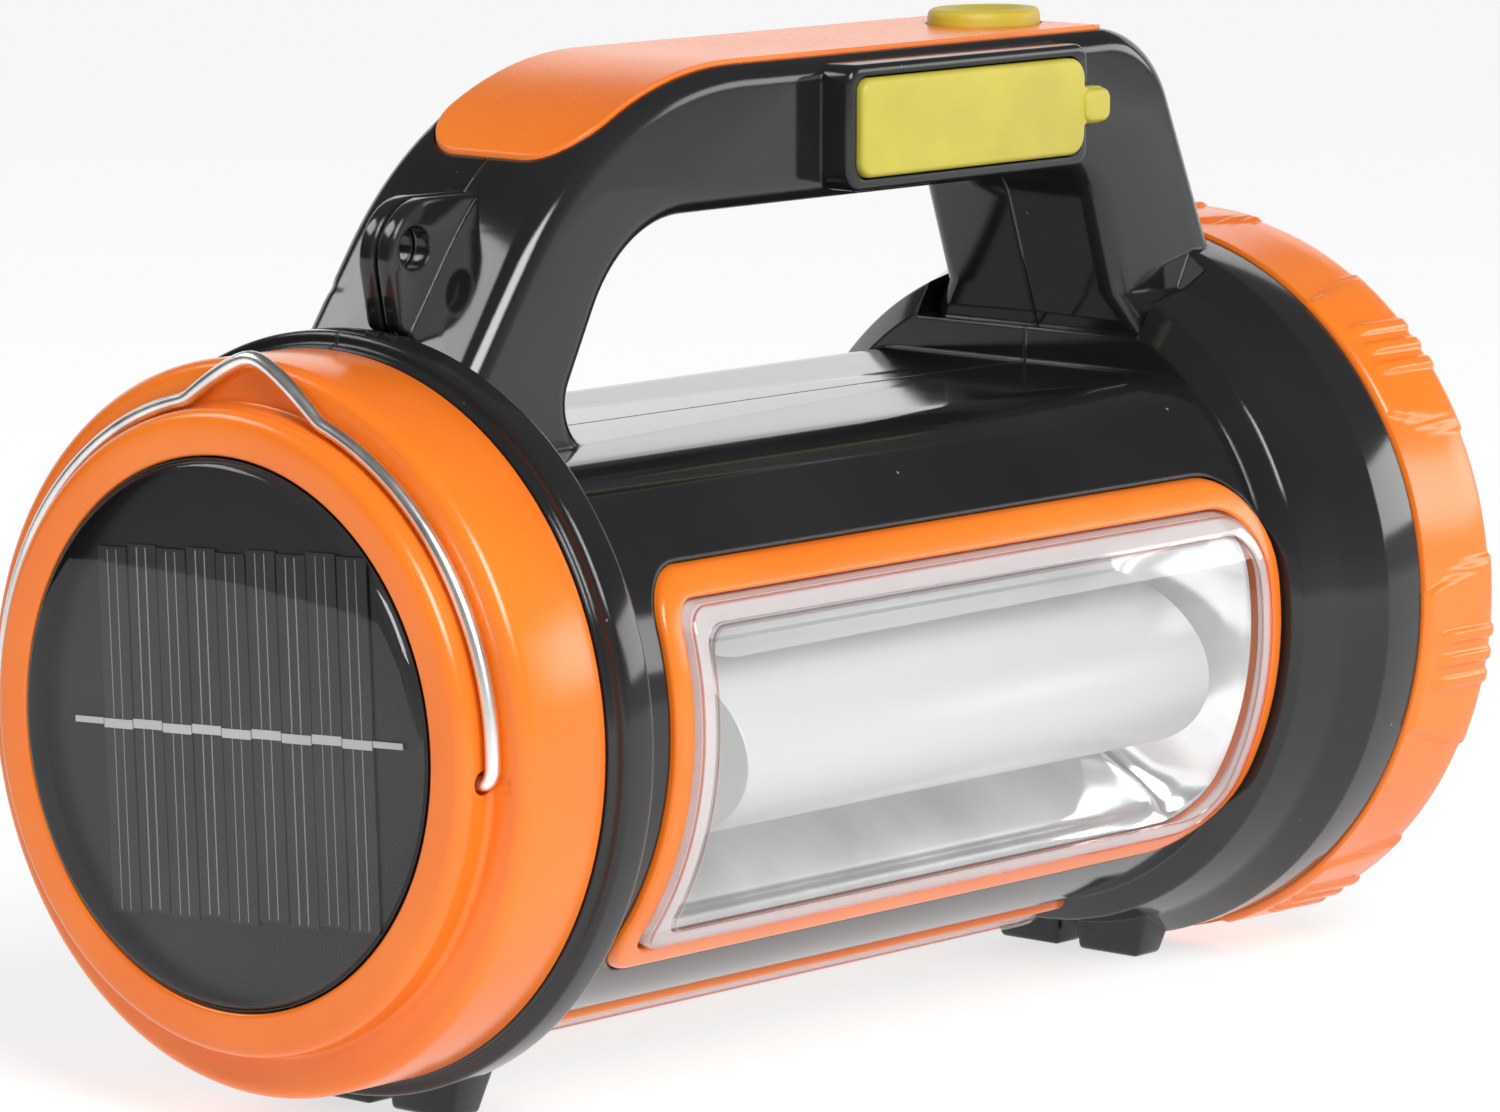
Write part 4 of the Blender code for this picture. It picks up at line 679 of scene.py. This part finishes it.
def window_turn(window):
    return (Matrix.Translation((0, 0, AXIS_Z))
            @ Matrix.Rotation(math.radians(WINDOWS[window][0]), 4, "X"))


def window_plan(window, inset):
    """A window's outline, drawn looking along +Z. It is then turned about the axis."""
    half = WINDOWS[window][1] - inset
    rear, front = (min(max(corner - inset, LEAST_CORNER), half - 0.2 * MM)
                   for corner in (WINDOW_REAR_CORNER, WINDOW_FRONT_CORNER))
    low, high = FRAME_LOW[0] + inset, FRAME_HIGH[0] - inset
    return soften([(low, -half, rear), (high, -half, front), (high, half, front),
                   (low, half, rear)], True, 10)


def strip_plan(grow):
    half = STRIP_HALF + grow
    corner = 8 * MM + grow
    return soften([(STRIP_REAR - grow, -half, corner), (STRIP_FRONT + grow, -half, 5 * MM),
                   (STRIP_FRONT + grow, half, 5 * MM), (STRIP_REAR - grow, half, corner)],
                  True, 12)


def cover_side(grow):
    """Side view of the socket cover with its pull tab."""
    low_x, high_x = COVER_LOW[0] - grow, COVER_HIGH[0] - COVER_TAB + grow
    tip = COVER_HIGH[0] + grow
    half, tab = COVER_HALF + grow, 2.7 * MM + grow
    lower = [(low_x, -half, 2.2 * MM), (high_x, -half, 3.0 * MM), (high_x, -tab, 0.6 * MM),
             (tip, -tab, 1.6 * MM)]
    upper = [(x, -z, radius) for x, z, radius in lower[::-1]]
    return soften([(x, COVER_MIDDLE + z, radius) for x, z, radius in lower + upper], True, 7)


def rounded_box_side(low_x, high_x, half, corner):
    low, high = COVER_MIDDLE - half, COVER_MIDDLE + half
    return soften([(low_x, low, corner), (high_x, low, corner), (high_x, high, corner),
                   (low_x, high, corner)], True, 8)


def block_mesh(name, low, high):
    shape = bmesh.new()
    add_block(shape, low, high)
    return mesh_of(name, shape)


def bevelled(mesh, size):
    shape = bmesh.new()
    shape.from_mesh(mesh)
    bmesh.ops.bevel(shape, geom=shape.edges, offset=size, segments=3, profile=0.5,
                    affect="EDGES")
    return mesh_of(mesh.name, shape)


flange = turned_mesh("flange", soften([
    (BARREL_X + 3 * MM, 0, 0), (BARREL_X + 3 * MM, BARREL_RADIUS - 0.4 * MM, 0),
    (BARREL_X + 0.6 * MM, BARREL_RADIUS - 0.2 * MM, 0.8 * MM),
    (BARREL_X - 0.2 * MM, FLANGE_RADIUS, 1.0 * MM), (FLANGE_X + 1.6 * MM, FLANGE_RADIUS, 0.8 * MM),
    (FLANGE_X + 1.3 * MM, CAP_RADIUS + 0.4 * MM, 0.4 * MM),
    (FLANGE_X + 0.3 * MM, CAP_RADIUS + 0.2 * MM, 0.3 * MM),
    (FLANGE_X + 0.3 * MM, CAP_RADIUS - 3 * MM, 0), (FLANGE_X - 8 * MM, CAP_RADIUS - 3 * MM, 0),
    (FLANGE_X - 8 * MM, 0, 0)]), closed=False)
head = turned_mesh("head", soften([
    (NECK_X, 0, 0), (NECK_X, HEAD_RADIUS - 3 * MM, 0), (BEZEL_X, HEAD_RADIUS - 3 * MM, 0),
    (BEZEL_X, HEAD_RADIUS - 0.2 * MM, 0.5 * MM), (BAND_X + 0.8 * MM, HEAD_RADIUS, 0.5 * MM),
    (BAND_X - 0.4 * MM, HEAD_RADIUS - 0.5 * MM, 0.6 * MM),
    (FLARE_X + 9 * MM, HEAD_RADIUS - 2.9 * MM, 9 * MM),
    (FLARE_X + 0.8 * MM, HEAD_RADIUS - 4.4 * MM, 0.7 * MM),
    (FLARE_X - 1.6 * MM, BARREL_RADIUS + 0.6 * MM, 1.4 * MM),
    (FLARE_X - 2.4 * MM, BARREL_RADIUS - 0.4 * MM, 0), (FLARE_X - 4 * MM, 0, 0)]), closed=False)
pocket = plate_mesh("pocket", [soften([
    (FLARE_X - 6 * MM, STEP_TOP, 0), (FLARE_X + 9 * MM, STEP_TOP, 8 * MM),
    (FLARE_X + 17 * MM, HEAD_RADIUS + MM, 0), (FLARE_X - 6 * MM, HEAD_RADIUS + MM, 0)],
    True, 8)], STEP_HALF)
head = carve(head, [pocket])

# The front leg's foot widens down from the kink to the step behind the head.
rings = []
for height, half, front in ((KINK, HANDLE_HALF + 0.02 * MM, FLARE_X + 20 * MM),
                            (STEP_TOP - 2 * MM, 22.5 * MM, FLARE_X + 13 * MM)):
    rear = slope_x(GAP_FRONT, GAP_FRONT_LEAN, height - DECK)
    corner = 3.6 * MM
    rings.append([(x, y, AXIS_Z + height) for x, y in soften([
        (rear, -half, corner), (front, -half, corner), (front, half, corner),
        (rear, half, corner)], True, 8)])
foot_of_leg = skin("flare", rings, caps=(0, -1))
handle = plate_mesh("handle", [handle_side(), gap_side()], HANDLE_HALF, HANDLE_RIM)
shell = carve(barrel_mesh("shell", 0, BARREL_X - 2 * MM, FLARE_X + MM),
              [flange, head, foot_of_leg, handle], "UNION")

hollow = barrel_mesh("hollow", WALL, BARREL_X + MM, FLARE_X + 2 * MM)
cone = turned_mesh("cone", [(BEZEL_HIGH[0], 0), (BEZEL_HIGH[0], HEAD_RADIUS - 5.6 * MM),
                            (FLARE_X + 19 * MM, HEAD_RADIUS - 5.6 * MM),
                            (FLARE_X + 8 * MM, DECK - 2.4 * MM), (FLARE_X, DECK - 3.4 * MM),
                            (FLARE_X, 0)], closed=False)
core = plate_mesh("core", [handle_side()], HANDLE_HALF + 4 * MM, inset=1.6 * MM)
seat = plate_mesh("seat", [strip_plan(0.25 * MM)], 20 * MM, flat=True,
                  place=(0, 0, AXIS_Z + HANDLE_TOP - 3 * MM))
cuts = [hollow, cone, carve(seat, [core])]
for window in WINDOWS:
    opening = plate_mesh("opening", [window_plan(window, -0.3 * MM)], 25 * MM, flat=True,
                         place=(0, 0, 45 * MM))
    opening.transform(window_turn(window))
    cuts.append(opening)
shell = carve(shell, cuts)

for side, name in ((-1, "right"), (1, "left")):
    ear = soften([(LUG_X - 6.6 * MM, LUG_RISE + 6.6 * MM, 8.2 * MM),
                  (LUG_X - 2.6 * MM, LUG_RISE - 13 * MM, 2.2 * MM),
                  (LUG_X + 4 * MM, LUG_RISE - 9 * MM, 0), (LUG_X + 14 * MM, LUG_RISE, 0),
                  (LUG_X + 14 * MM, LUG_RISE + 6.6 * MM, 0)], True, 12)
    add = [plate_mesh("ear", [ear], 1.35 * MM, 0.5 * MM, resolution=2,
                      place=(0, side * 1.70 * MM, 0))]
    cut = [rod_mesh("eye", (LUG_X, -8 * MM, AXIS_Z + LUG_RISE),
                    (LUG_X, 8 * MM, AXIS_Z + LUG_RISE), EYE_RADIUS)]
    for rear, front in FEET:
        rings = [[(rear + draft, side * near, z), (front - draft, side * near, z),
                  (front - draft, side * far, z), (rear + draft, side * far, z)]
                 for draft, near, far, z in ((1.5 * MM, 2.0 * MM, 13 * MM, 0.1 * MM),
                                             (0, 1.2 * MM, 17 * MM, 12 * MM))]
        add.append(bevelled(skin("foot", rings, caps=(0, -1)), 0.7 * MM))
    if name == "right":
        block = rounded_box_side(COVER_LOW[0] - BLOCK_RIM, COVER_HIGH[0] - COVER_TAB + BLOCK_RIM,
                                 COVER_HALF + BLOCK_RIM, 2.6 * MM)
        add.append(plate_mesh("block", [block], 5 * MM, 0.9 * MM, resolution=3,
                              place=(0, BLOCK_FACE + 5 * MM, 0)))
        cut.append(plate_mesh("cover_seat", [cover_side(0.3 * MM)], 1.8 * MM,
                              place=(0, BLOCK_FACE, 0)))
        low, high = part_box("usb_socket")
        port = block_mesh("port", (low[0] - 0.3 * MM, BLOCK_FACE - MM, low[2] - 0.3 * MM),
                          (high[0] + 0.3 * MM, INWARDS, high[2] + 0.3 * MM))
        cut.append(bevelled(port, 0.4 * MM))
        low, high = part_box("charge_socket")
        x, z = (low[0] + high[0]) / 2, (low[2] + high[2]) / 2
        cut.append(rod_mesh("jack", (x, BLOCK_FACE - MM, z), (x, INWARDS, z), 3.9 * MM))
    else:
        for number in range(1, 7):
            low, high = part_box(f"housing_screw_{number}")
            x, z = (low[0] + high[0]) / 2, (low[2] + high[2]) / 2
            cut.append(rod_mesh("well", (x, high[1] - 2.2 * MM, z), (x, high[1] + 12 * MM, z),
                                (high[0] - low[0]) / 2 + 0.12 * MM))
    start, stop = sorted((-side * FAR, side * SEAM))
    cut.append(block_mesh("other_half", (-2 * FAR, start, -FAR), (2 * FAR, stop, 2.5 * FAR)))
    half_shell = carve(carve(shell.copy(), add, "UNION"), cut)
    add_piece(f"housing_shell_{name}", half_shell, black_housing, f"housing_{name}",
              sharp=32)


# ---- Lantern windows -------------------------------------------------------
# Three windows round the barrel. Each has an orange frame that clips into the housing, a
# clear lens standing proud of it, a chromed pan and a frosted half-round light bar.
FRAME_BORDER = 3.7 * MM
FRAME_OUTER = BARREL_RADIUS + 1.0 * MM
LENS_EDGE = FRAME_BORDER + 0.25 * MM
LENS_OUTER = FRAME_OUTER + 1.8 * MM
LENS_FACE = LENS_OUTER - 0.25 * MM
PAN_EDGE = LENS_EDGE + 1.2 * MM
PAN_TOP = FRAME_OUTER - 3.2 * MM
BAR_STEPS = 28
# A window's pan floor, and its bar's half width and rise.
SIDE_BAR = (27 * MM, 12.6 * MM, 19.0 * MM)
BARS = {"right": SIDE_BAR, "left": SIDE_BAR, "belly": (34.5 * MM, 4.8 * MM, 7.0 * MM)}


def dense(outline, pieces=30):
    """Splits an outline's four straight sides, so that they can follow the barrel's round."""
    line = []
    corner = len(outline) // 4
    for number, (one, two) in enumerate(zip(outline, outline[1:] + outline[:1]), 1):
        line.append(one)
        if number % corner == 0:
            line += [(one[0] + (two[0] - one[0]) * k / pieces,
                      one[1] + (two[1] - one[1]) * k / pieces) for k in range(1, pieces)]
    return line


def loop_mesh(name, window, stations, cap=False):
    """Skins rings that follow a window's outline. A station is (inset, radius, flat):
    flat runs from 0, on the barrel's round, to 1, level at that height."""
    rings = [[(x, y, math.sqrt(max(radius ** 2 - y ** 2, 0)) * (1 - flat) + radius * flat)
              for x, y in dense(window_plan(window, inset))] for inset, radius, flat in stations]
    mesh = skin(name, rings, closed=not cap, caps=(-1,) if cap else ())
    mesh.transform(window_turn(window))
    return mesh


def frosted(name, color, rough, solid=1.0):
    """Milky plastic, partly see-through, with a faint cloud and a fine frost."""
    made, shader, where = new_material(name)
    cloud, frost = noise(where, 30.0, 2.0), noise(where, 1800.0, 2.0)
    feed(shader, {"Base Color": cloud.blend(color, toned(color, 0.96)),
                  "Roughness": frost * 0.1 + rough, "Normal": relief(frost, 0.10),
                  "Alpha": cloud * 0.1 + (solid - 0.05)})
    return made


lens_clear = clear_sheet("clear_lens", (0.985, 0.985, 0.985, 1), 1.0, 0.015)
# The see-through edge is tinted pink: a painted reflection of the orange frame seen through the
# lens's edges.
painted_frame_reflection = clear_sheet("painted_frame_reflection", (0.93, 0.70, 0.66, 1), 1.6, 0.05)
# Pinkish grey frosted rim: the lens border's own haze, with a painted reflection of the orange
# frame in its thickness.
lens_rim_painted_reflection = frosted("lens_rim_painted_reflection", (0.80, 0.74, 0.74, 1), 0.12, 0.6)
# The chrome's emission is a painted glow that stands in for the light brightening the window pans
# and the head bowl.
chrome_film_painted_glow = metal("chrome_film_painted_glow", (0.92, 0.925, 0.93, 1), 0.17, 60.0, glow=0.10)
frosted_bar = frosted("frosted_bar", (0.60, 0.61, 0.61, 1), 0.32)

frame_section = [(inset, radius, 0) for inset, radius in soften([
    (0, FRAME_OUTER - 4 * MM, 0), (0, FRAME_OUTER, 0.9 * MM),
    (FRAME_BORDER, FRAME_OUTER + 0.2 * MM, 0.7 * MM),
    (FRAME_BORDER, FRAME_OUTER - 4 * MM, 0)], True, 6)]
lens_border = soften([
    (LENS_EDGE, FRAME_OUTER - 3 * MM, 0), (LENS_EDGE, LENS_OUTER - 0.3 * MM, 1.3 * MM),
    (LENS_EDGE + 2.6 * MM, LENS_OUTER, 1.0 * MM), (LENS_EDGE + 3.2 * MM, LENS_FACE, 0.4 * MM),
    (LENS_EDGE + 5.0 * MM, LENS_FACE, 0)], steps=4)
rim_section = [(LENS_EDGE + 0.15 * MM, FRAME_OUTER - 1.5 * MM, 0),
               (LENS_EDGE + 0.2 * MM, LENS_OUTER - 1.1 * MM, 0),
               (LENS_EDGE + 2.5 * MM, LENS_OUTER - 0.6 * MM, 0),
               (LENS_EDGE + 2.3 * MM, LENS_OUTER - 1.6 * MM, 0)]

for window, (floor, bar_half, bar_rise) in BARS.items():
    add_piece(f"window_frame_{window}_moulding", loop_mesh("frame", window, frame_section),
              orange_gloss, f"window_frame_{window}")

    wide = WINDOWS[window][1] - MM - LENS_EDGE - 5 * MM
    count = max(int(wide / (3 * MM)), 1)
    across = [LENS_EDGE + 5 * MM + wide * k / count for k in range(1, count + 1)]
    pane = [(inset, radius, 0) for inset, radius in lens_border]
    pane += [(inset, LENS_FACE, 0) for inset in across]
    add_piece(f"window_lens_{window}_pane", loop_mesh("lens", window, pane, cap=True),
              lens_clear, f"window_lens_{window}", sharp=60)
    # Two thin pink tubes along the lens border carry the painted reflection of the orange frame.
    for number, (inset, radius, thick) in enumerate((
            (LENS_EDGE + 0.35 * MM, LENS_OUTER - 0.75 * MM, 0.20 * MM),
            (LENS_EDGE + 2.9 * MM, LENS_OUTER - 0.35 * MM, 0.16 * MM)), 1):
        ring = [(x, y, math.sqrt(radius ** 2 - y ** 2))
                for x, y in dense(window_plan(window, inset))]
        mesh = tube_mesh("edge", ring, thick, 2, closed=True)
        mesh.transform(window_turn(window))
        add_piece(f"window_lens_{window}_edge_{number}", mesh, painted_frame_reflection, None)
    # The rim ring's pinkish tone is partly painted reflection of the frame.
    add_piece(f"window_lens_{window}_rim", loop_mesh("rim", window, rim_section), lens_rim_painted_reflection,
              None)

    base = PAN_EDGE + (1.6 * MM if window == "belly" else 0.48 * (PAN_TOP - floor))
    pan = [(PAN_EDGE, PAN_TOP + 1.2 * MM, 0), (PAN_EDGE + 0.4 * MM, PAN_TOP, 0)]
    pan += [(PAN_EDGE + 0.4 * MM + (base - PAN_EDGE) * t, PAN_TOP + (floor - PAN_TOP) * t,
             t ** 0.7) for t in (0.15, 0.3, 0.5, 0.7, 0.85)]
    pan += [(base + 0.8 * MM, floor + 0.35 * MM, 1), (base + 2.0 * MM, floor, 1)]
    add_piece(f"window_pan_{window}", loop_mesh("pan", window, pan, cap=True), chrome_film_painted_glow,
              f"window_reflector_{window}", sharp=50)

    low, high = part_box(f"window_diffuser_{window}")
    angles = [math.pi * k / BAR_STEPS for k in range(BAR_STEPS + 1)]
    rings = [[(x, bar_half * math.cos(angle) * share,
               floor + 0.5 * MM + bar_rise * math.sin(angle) * share) for angle in angles]
             for x, share in ((low[0], 0.985), (low[0] + 0.4 * MM, 1.0),
                              (high[0] - 0.4 * MM, 1.0), (high[0], 0.985))]
    mesh = skin("bar", rings, caps=(0, -1))
    mesh.transform(window_turn(window))
    add_piece(f"window_bar_{window}", mesh, frosted_bar, f"window_diffuser_{window}")


# ---- Grip strip and button -------------------------------------------------
# A satin orange strip set into the top of the grip, and the soft yellow push button that
# comes up through it. The button's top is dished for the thumb.
BUTTON_LOW, BUTTON_HIGH = (Vector(v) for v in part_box("button_cap"))
BUTTON_X = (BUTTON_LOW.x + BUTTON_HIGH.x) / 2
BUTTON_HALF = (BUTTON_HIGH - BUTTON_LOW) / 2
BUTTON_STEPS = 96
BUTTON_YELLOW = (0.60, 0.47, 0.04, 1)
# From the skirt up over the rim and down into the dish: inset and depth below the top, mm.
BUTTON_LEVELS = ((0.0, 1.3), (0.12, 0.55), (0.35, 0.22), (0.75, 0.03), (1.3, 0.0), (2.2, 0.05),
                 (2.9, 0.25), (3.6, 0.52), (4.6, 0.68), (5.8, 0.74), (7.0, 0.76))


def button_plan(grow):
    """The button's outline about its middle, an oval with slightly pointed ends."""
    line = []
    for k in range(BUTTON_STEPS):
        angle = 2 * math.pi * k / BUTTON_STEPS
        along, over = math.cos(angle), math.sin(angle)
        line.append(((BUTTON_HALF.x + grow) * math.copysign(abs(along) ** 1.22, along),
                     (BUTTON_HALF.y + grow) * math.copysign(abs(over) ** 0.94, over)))
    return line


def soft_rubber(name, color):
    """Soft coloured rubber: matt bloom, faint mottling and a fine grain."""
    made, shader, where = new_material(name)
    cloud = noise(where, 90.0, 4.0)
    feed(shader, {"Base Color": cloud.above(0.35, 0.35).blend(toned(color, 0.88), color),
                  "Roughness": cloud * 0.14 + 0.40,
                  "Normal": relief(noise(where, 1500.0, 3.0), 0.25)})
    return made


plan = plate_mesh("strip", [strip_plan(0)], 20 * MM, flat=True,
                  place=(0, 0, AXIS_Z + HANDLE_TOP - 3 * MM))
outer = plate_mesh("outer", [handle_side()], HANDLE_HALF + 4 * MM, inset=-0.45 * MM)
inner = plate_mesh("inner", [handle_side()], HANDLE_HALF + 5 * MM, inset=1.5 * MM)
hole = plate_mesh("hole", [button_plan(0.35 * MM)], 12 * MM, flat=True,
                  place=(BUTTON_X, 0, AXIS_Z + HANDLE_TOP))
strip = carve(carve(plan, [outer], "INTERSECT"), [inner, hole])
satin = moulded("orange_satin", ORANGE, ORANGE_DEEP, 0.27, wave=0.05, edge=0.6 * MM)
add_piece("grip_strip_moulding", strip, satin, "grip_strip", sharp=32)

outline = button_plan(0)
rings = [[(BUTTON_X + x, y, BUTTON_LOW.z) for x, y in outline]]
for inset, depth in BUTTON_LEVELS:
    share_x, share_y = 1 - inset * MM / BUTTON_HALF.x, 1 - inset * MM / BUTTON_HALF.y
    rings.append([(BUTTON_X + x * share_x, y * share_y, BUTTON_HIGH.z - depth * MM)
                  for x, y in outline])
add_piece("button_cap_soft", skin("button", rings, caps=(0, -1)),
          soft_rubber("button_rubber", BUTTON_YELLOW), "button_cap", "button",
          sharp=60)


# ---- Socket cover ----------------------------------------------------------
# A soft yellow flap pressed into the socket block's rim, with a pull tab at its front end.
# Behind it are a USB outlet and a round charging socket.
COVER_YELLOW = (0.54, 0.47, 0.06, 1)
COVER_THICK = COVER_HIGH[1] - COVER_LOW[1]

flap = plate_mesh("flap", [cover_side(0)], COVER_THICK / 2, 0.85 * MM, resolution=4,
                  place=(0, (COVER_LOW[1] + COVER_HIGH[1]) / 2, 0))
tab = rounded_box_side(COVER_HIGH[0] - COVER_TAB - 0.6 * MM, COVER_HIGH[0] + 0.1 * MM,
                       2.4 * MM, 1.5 * MM)
tab = plate_mesh("tab", [tab], 1.5 * MM, 0.7 * MM, resolution=4,
                 place=(0, COVER_LOW[1] + 0.9 * MM, 0))
add_piece("socket_cover_flap", carve(flap, [tab], "UNION"),
          soft_rubber("cover_rubber", COVER_YELLOW), "socket_cover", "cover",
          sharp=35)


# ---- Head bezel ------------------------------------------------------------
# An orange ring threaded over the head. Raised grip pads stand round its rim, each with
# three short ribs, and its front lip holds the lens.
BEZEL_RADIUS = 54.2 * MM
BEZEL_BORE = BEZEL_RADIUS - 2.4 * MM
BEZEL_MOUTH = BEZEL_RADIUS - 8.1 * MM
BEZEL_STEPS = 1008
PADS = 7
PAD_PHASE = math.radians(42.7)
PAD_RISE = 0.55 * MM
PAD_REACH, PAD_SPREAD = 11.4, 4.8
RIB_RISE = 0.60 * MM
RIB_HALF = 0.55
RIBS = (-3.7, 0.0, 3.7)


def ramp(value, start, width):
    share = min(max((value - start) / width, 0), 1)
    return share * share * (3 - 2 * share)


def grip_height(angle, along):
    """Height of the pads and ribs, at an angle round the ring and a share of its length."""
    pitch = 2 * math.pi / PADS
    off = math.degrees((angle - PAD_PHASE + pitch / 2) % pitch - pitch / 2)
    reach = PAD_REACH + PAD_SPREAD * along
    height = PAD_RISE * (ramp(reach - abs(off), 0, 0.7) * ramp(along, 0.0, 0.06))
    for middle in RIBS:
        rib = 1 - ramp(abs(off - middle), RIB_HALF, 0.75)
        height += RIB_RISE * rib * ramp(along, 0.20, 0.05)
    return height


rear, front = BEZEL_LOW[0], BEZEL_HIGH[0]
angles = [2 * math.pi * k / BEZEL_STEPS for k in range(BEZEL_STEPS)]
outside = ((rear, -0.5, 0.0), (rear + 0.2 * MM, 0, 0.0), (rear + 0.8 * MM, 0, 0.05),
           (rear + 1.6 * MM, 0, 0.1), (rear + 3.2 * MM, 0, 0.2), (rear + 4.2 * MM, 0, 0.26),
           (rear + 7 * MM, 0.05, 0.42), (rear + 11 * MM, 0.1, 0.7),
           (front - 1.6 * MM, 0.15, 0.92), (front - 0.9 * MM, 0, 0.96),
           (front - 0.35 * MM, -0.35, 0.97), (front, -1.3, 0.0))
inside = soften([(front, BEZEL_MOUTH + 2 * MM, 0), (front, BEZEL_MOUTH, 1.0 * MM),
                 (front - 2.2 * MM, BEZEL_MOUTH, 0)], steps=4)
inside += [(front - 2.6 * MM, BEZEL_MOUTH), (front - 2.6 * MM, BEZEL_BORE), (rear, BEZEL_BORE)]
rings = [[turned(x, BEZEL_RADIUS + shift * MM + grip_height(angle, along), angle)
          for angle in angles] for x, shift, along in outside]
rings += [[turned(x, radius, angle) for angle in angles] for x, radius in inside]
add_piece("head_bezel_ring", skin("bezel", rings, closed=True), orange_gloss, "head_bezel",
          sharp=50)


# ---- Head light ------------------------------------------------------------
# A flat clear lens on a rubber gasket, in front of a deep chromed bowl with one large LED
# on a metal-backed board at its throat.
LENS_LOW, LENS_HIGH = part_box("front_lens")
BOWL_LOW, BOWL_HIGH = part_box("head_reflector")
LENS_RADIUS = (LENS_HIGH[2] - LENS_LOW[2]) / 2
BOWL_WALL = 1.2 * MM
BOWL_MOUTH = (BOWL_HIGH[2] - BOWL_LOW[2]) / 2 - BOWL_WALL
BOWL_THROAT = 8 * MM
BOWL_STEPS = 36
CHIP_HALF = 3 * MM

disc = soften([(LENS_HIGH[0], 0, 0), (LENS_HIGH[0], LENS_RADIUS, 0.5 * MM),
               (LENS_LOW[0], LENS_RADIUS, 0.5 * MM), (LENS_LOW[0], 0, 0)], steps=3)
add_piece("front_lens_disc", turned_mesh("disc", disc, closed=False), lens_clear,
          "front_lens", sharp=50)
inner, outer = [], []
for k in range(BOWL_STEPS + 1):
    radius = BOWL_THROAT + (BOWL_MOUTH - BOWL_THROAT) * k / BOWL_STEPS
    share = (radius ** 2 - BOWL_THROAT ** 2) / (BOWL_MOUTH ** 2 - BOWL_THROAT ** 2)
    x = BOWL_LOW[0] + BOWL_WALL + (BOWL_HIGH[0] - BOWL_LOW[0] - BOWL_WALL) * share
    inner.append((x, radius))
    outer.append((x - (BOWL_WALL if k < BOWL_STEPS else 0), radius + BOWL_WALL))
add_piece("head_reflector_bowl", turned_mesh("bowl", inner + outer[::-1]), chrome_film_painted_glow,
          "head_reflector", sharp=60)
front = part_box("head_light_board")[1][0]
chip = block_mesh("chip", (front - 0.2 * MM, -CHIP_HALF, AXIS_Z - CHIP_HALF),
                  (front + 0.5 * MM, CHIP_HALF, AXIS_Z + CHIP_HALF))
add_piece("head_led", bevelled(chip, 0.3 * MM),
          soft_rubber("led_phosphor", (0.80, 0.62, 0.06, 1)), None)


# ---- Inner parts -----------------------------------------------------------
# Cells, boards, sockets, gasket, heat sink and screws keep their plain shapes and take the
# finish of the real ones: sleeved cells, green and white boards, bright screws, bare metal.
green_board, shader, where = new_material("green_board")
tracks = where.node("ShaderNodeTexBrick", {"offset": 0.5},
                    {"Vector": where, "Color1": (0, 0, 0, 1), "Color2": (0, 0, 0, 1),
                     "Mortar": (1, 1, 1, 1), "Scale": 60.0, "Mortar Size": 0.03})
feed(shader, {"Base Color": tracks.blend((0.010, 0.115, 0.035, 1), (0.03, 0.22, 0.07, 1)),
              "Normal": relief(tracks, 0.3)})
fix(shader, {"Roughness": 0.35})
white_board = moulded("board_white", (0.72, 0.73, 0.72, 1), (0.66, 0.67, 0.66, 1), 0.4)
sleeve = moulded("blue_sleeve", (0.02, 0.09, 0.32, 1), (0.02, 0.07, 0.26, 1), 0.3)
inner_black = moulded("inner_black", (0.014, 0.014, 0.015, 1), BLACK_WORN, 0.4)
gasket = soft_rubber("gasket_rubber", (0.018, 0.018, 0.018, 1))
steel = metal("plain_steel", (0.60, 0.60, 0.59, 1), 0.30, 500.0)
aluminium = metal("bare_aluminium", (0.76, 0.76, 0.77, 1), 0.38, 300.0, (0.1, 1, 1))

for material, names in (
        (green_board, ("control_board", "socket_board")),
        (white_board, ("head_light_board", *[f"window_board_{window}" for window in WINDOWS])),
        (sleeve, ("battery_cell_1", "battery_cell_2")),
        (inner_black, ("battery_tray", "button_switch", "charge_socket")),
        (gasket, ("lens_gasket",)),
        (steel, ("usb_socket", *[f"housing_screw_{number}" for number in range(1, 7)])),
        (aluminium, ("head_heat_sink",))):
    for name in names:
        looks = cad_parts[name].data.materials
        looks.clear()
        looks.append(material)


low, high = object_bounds()
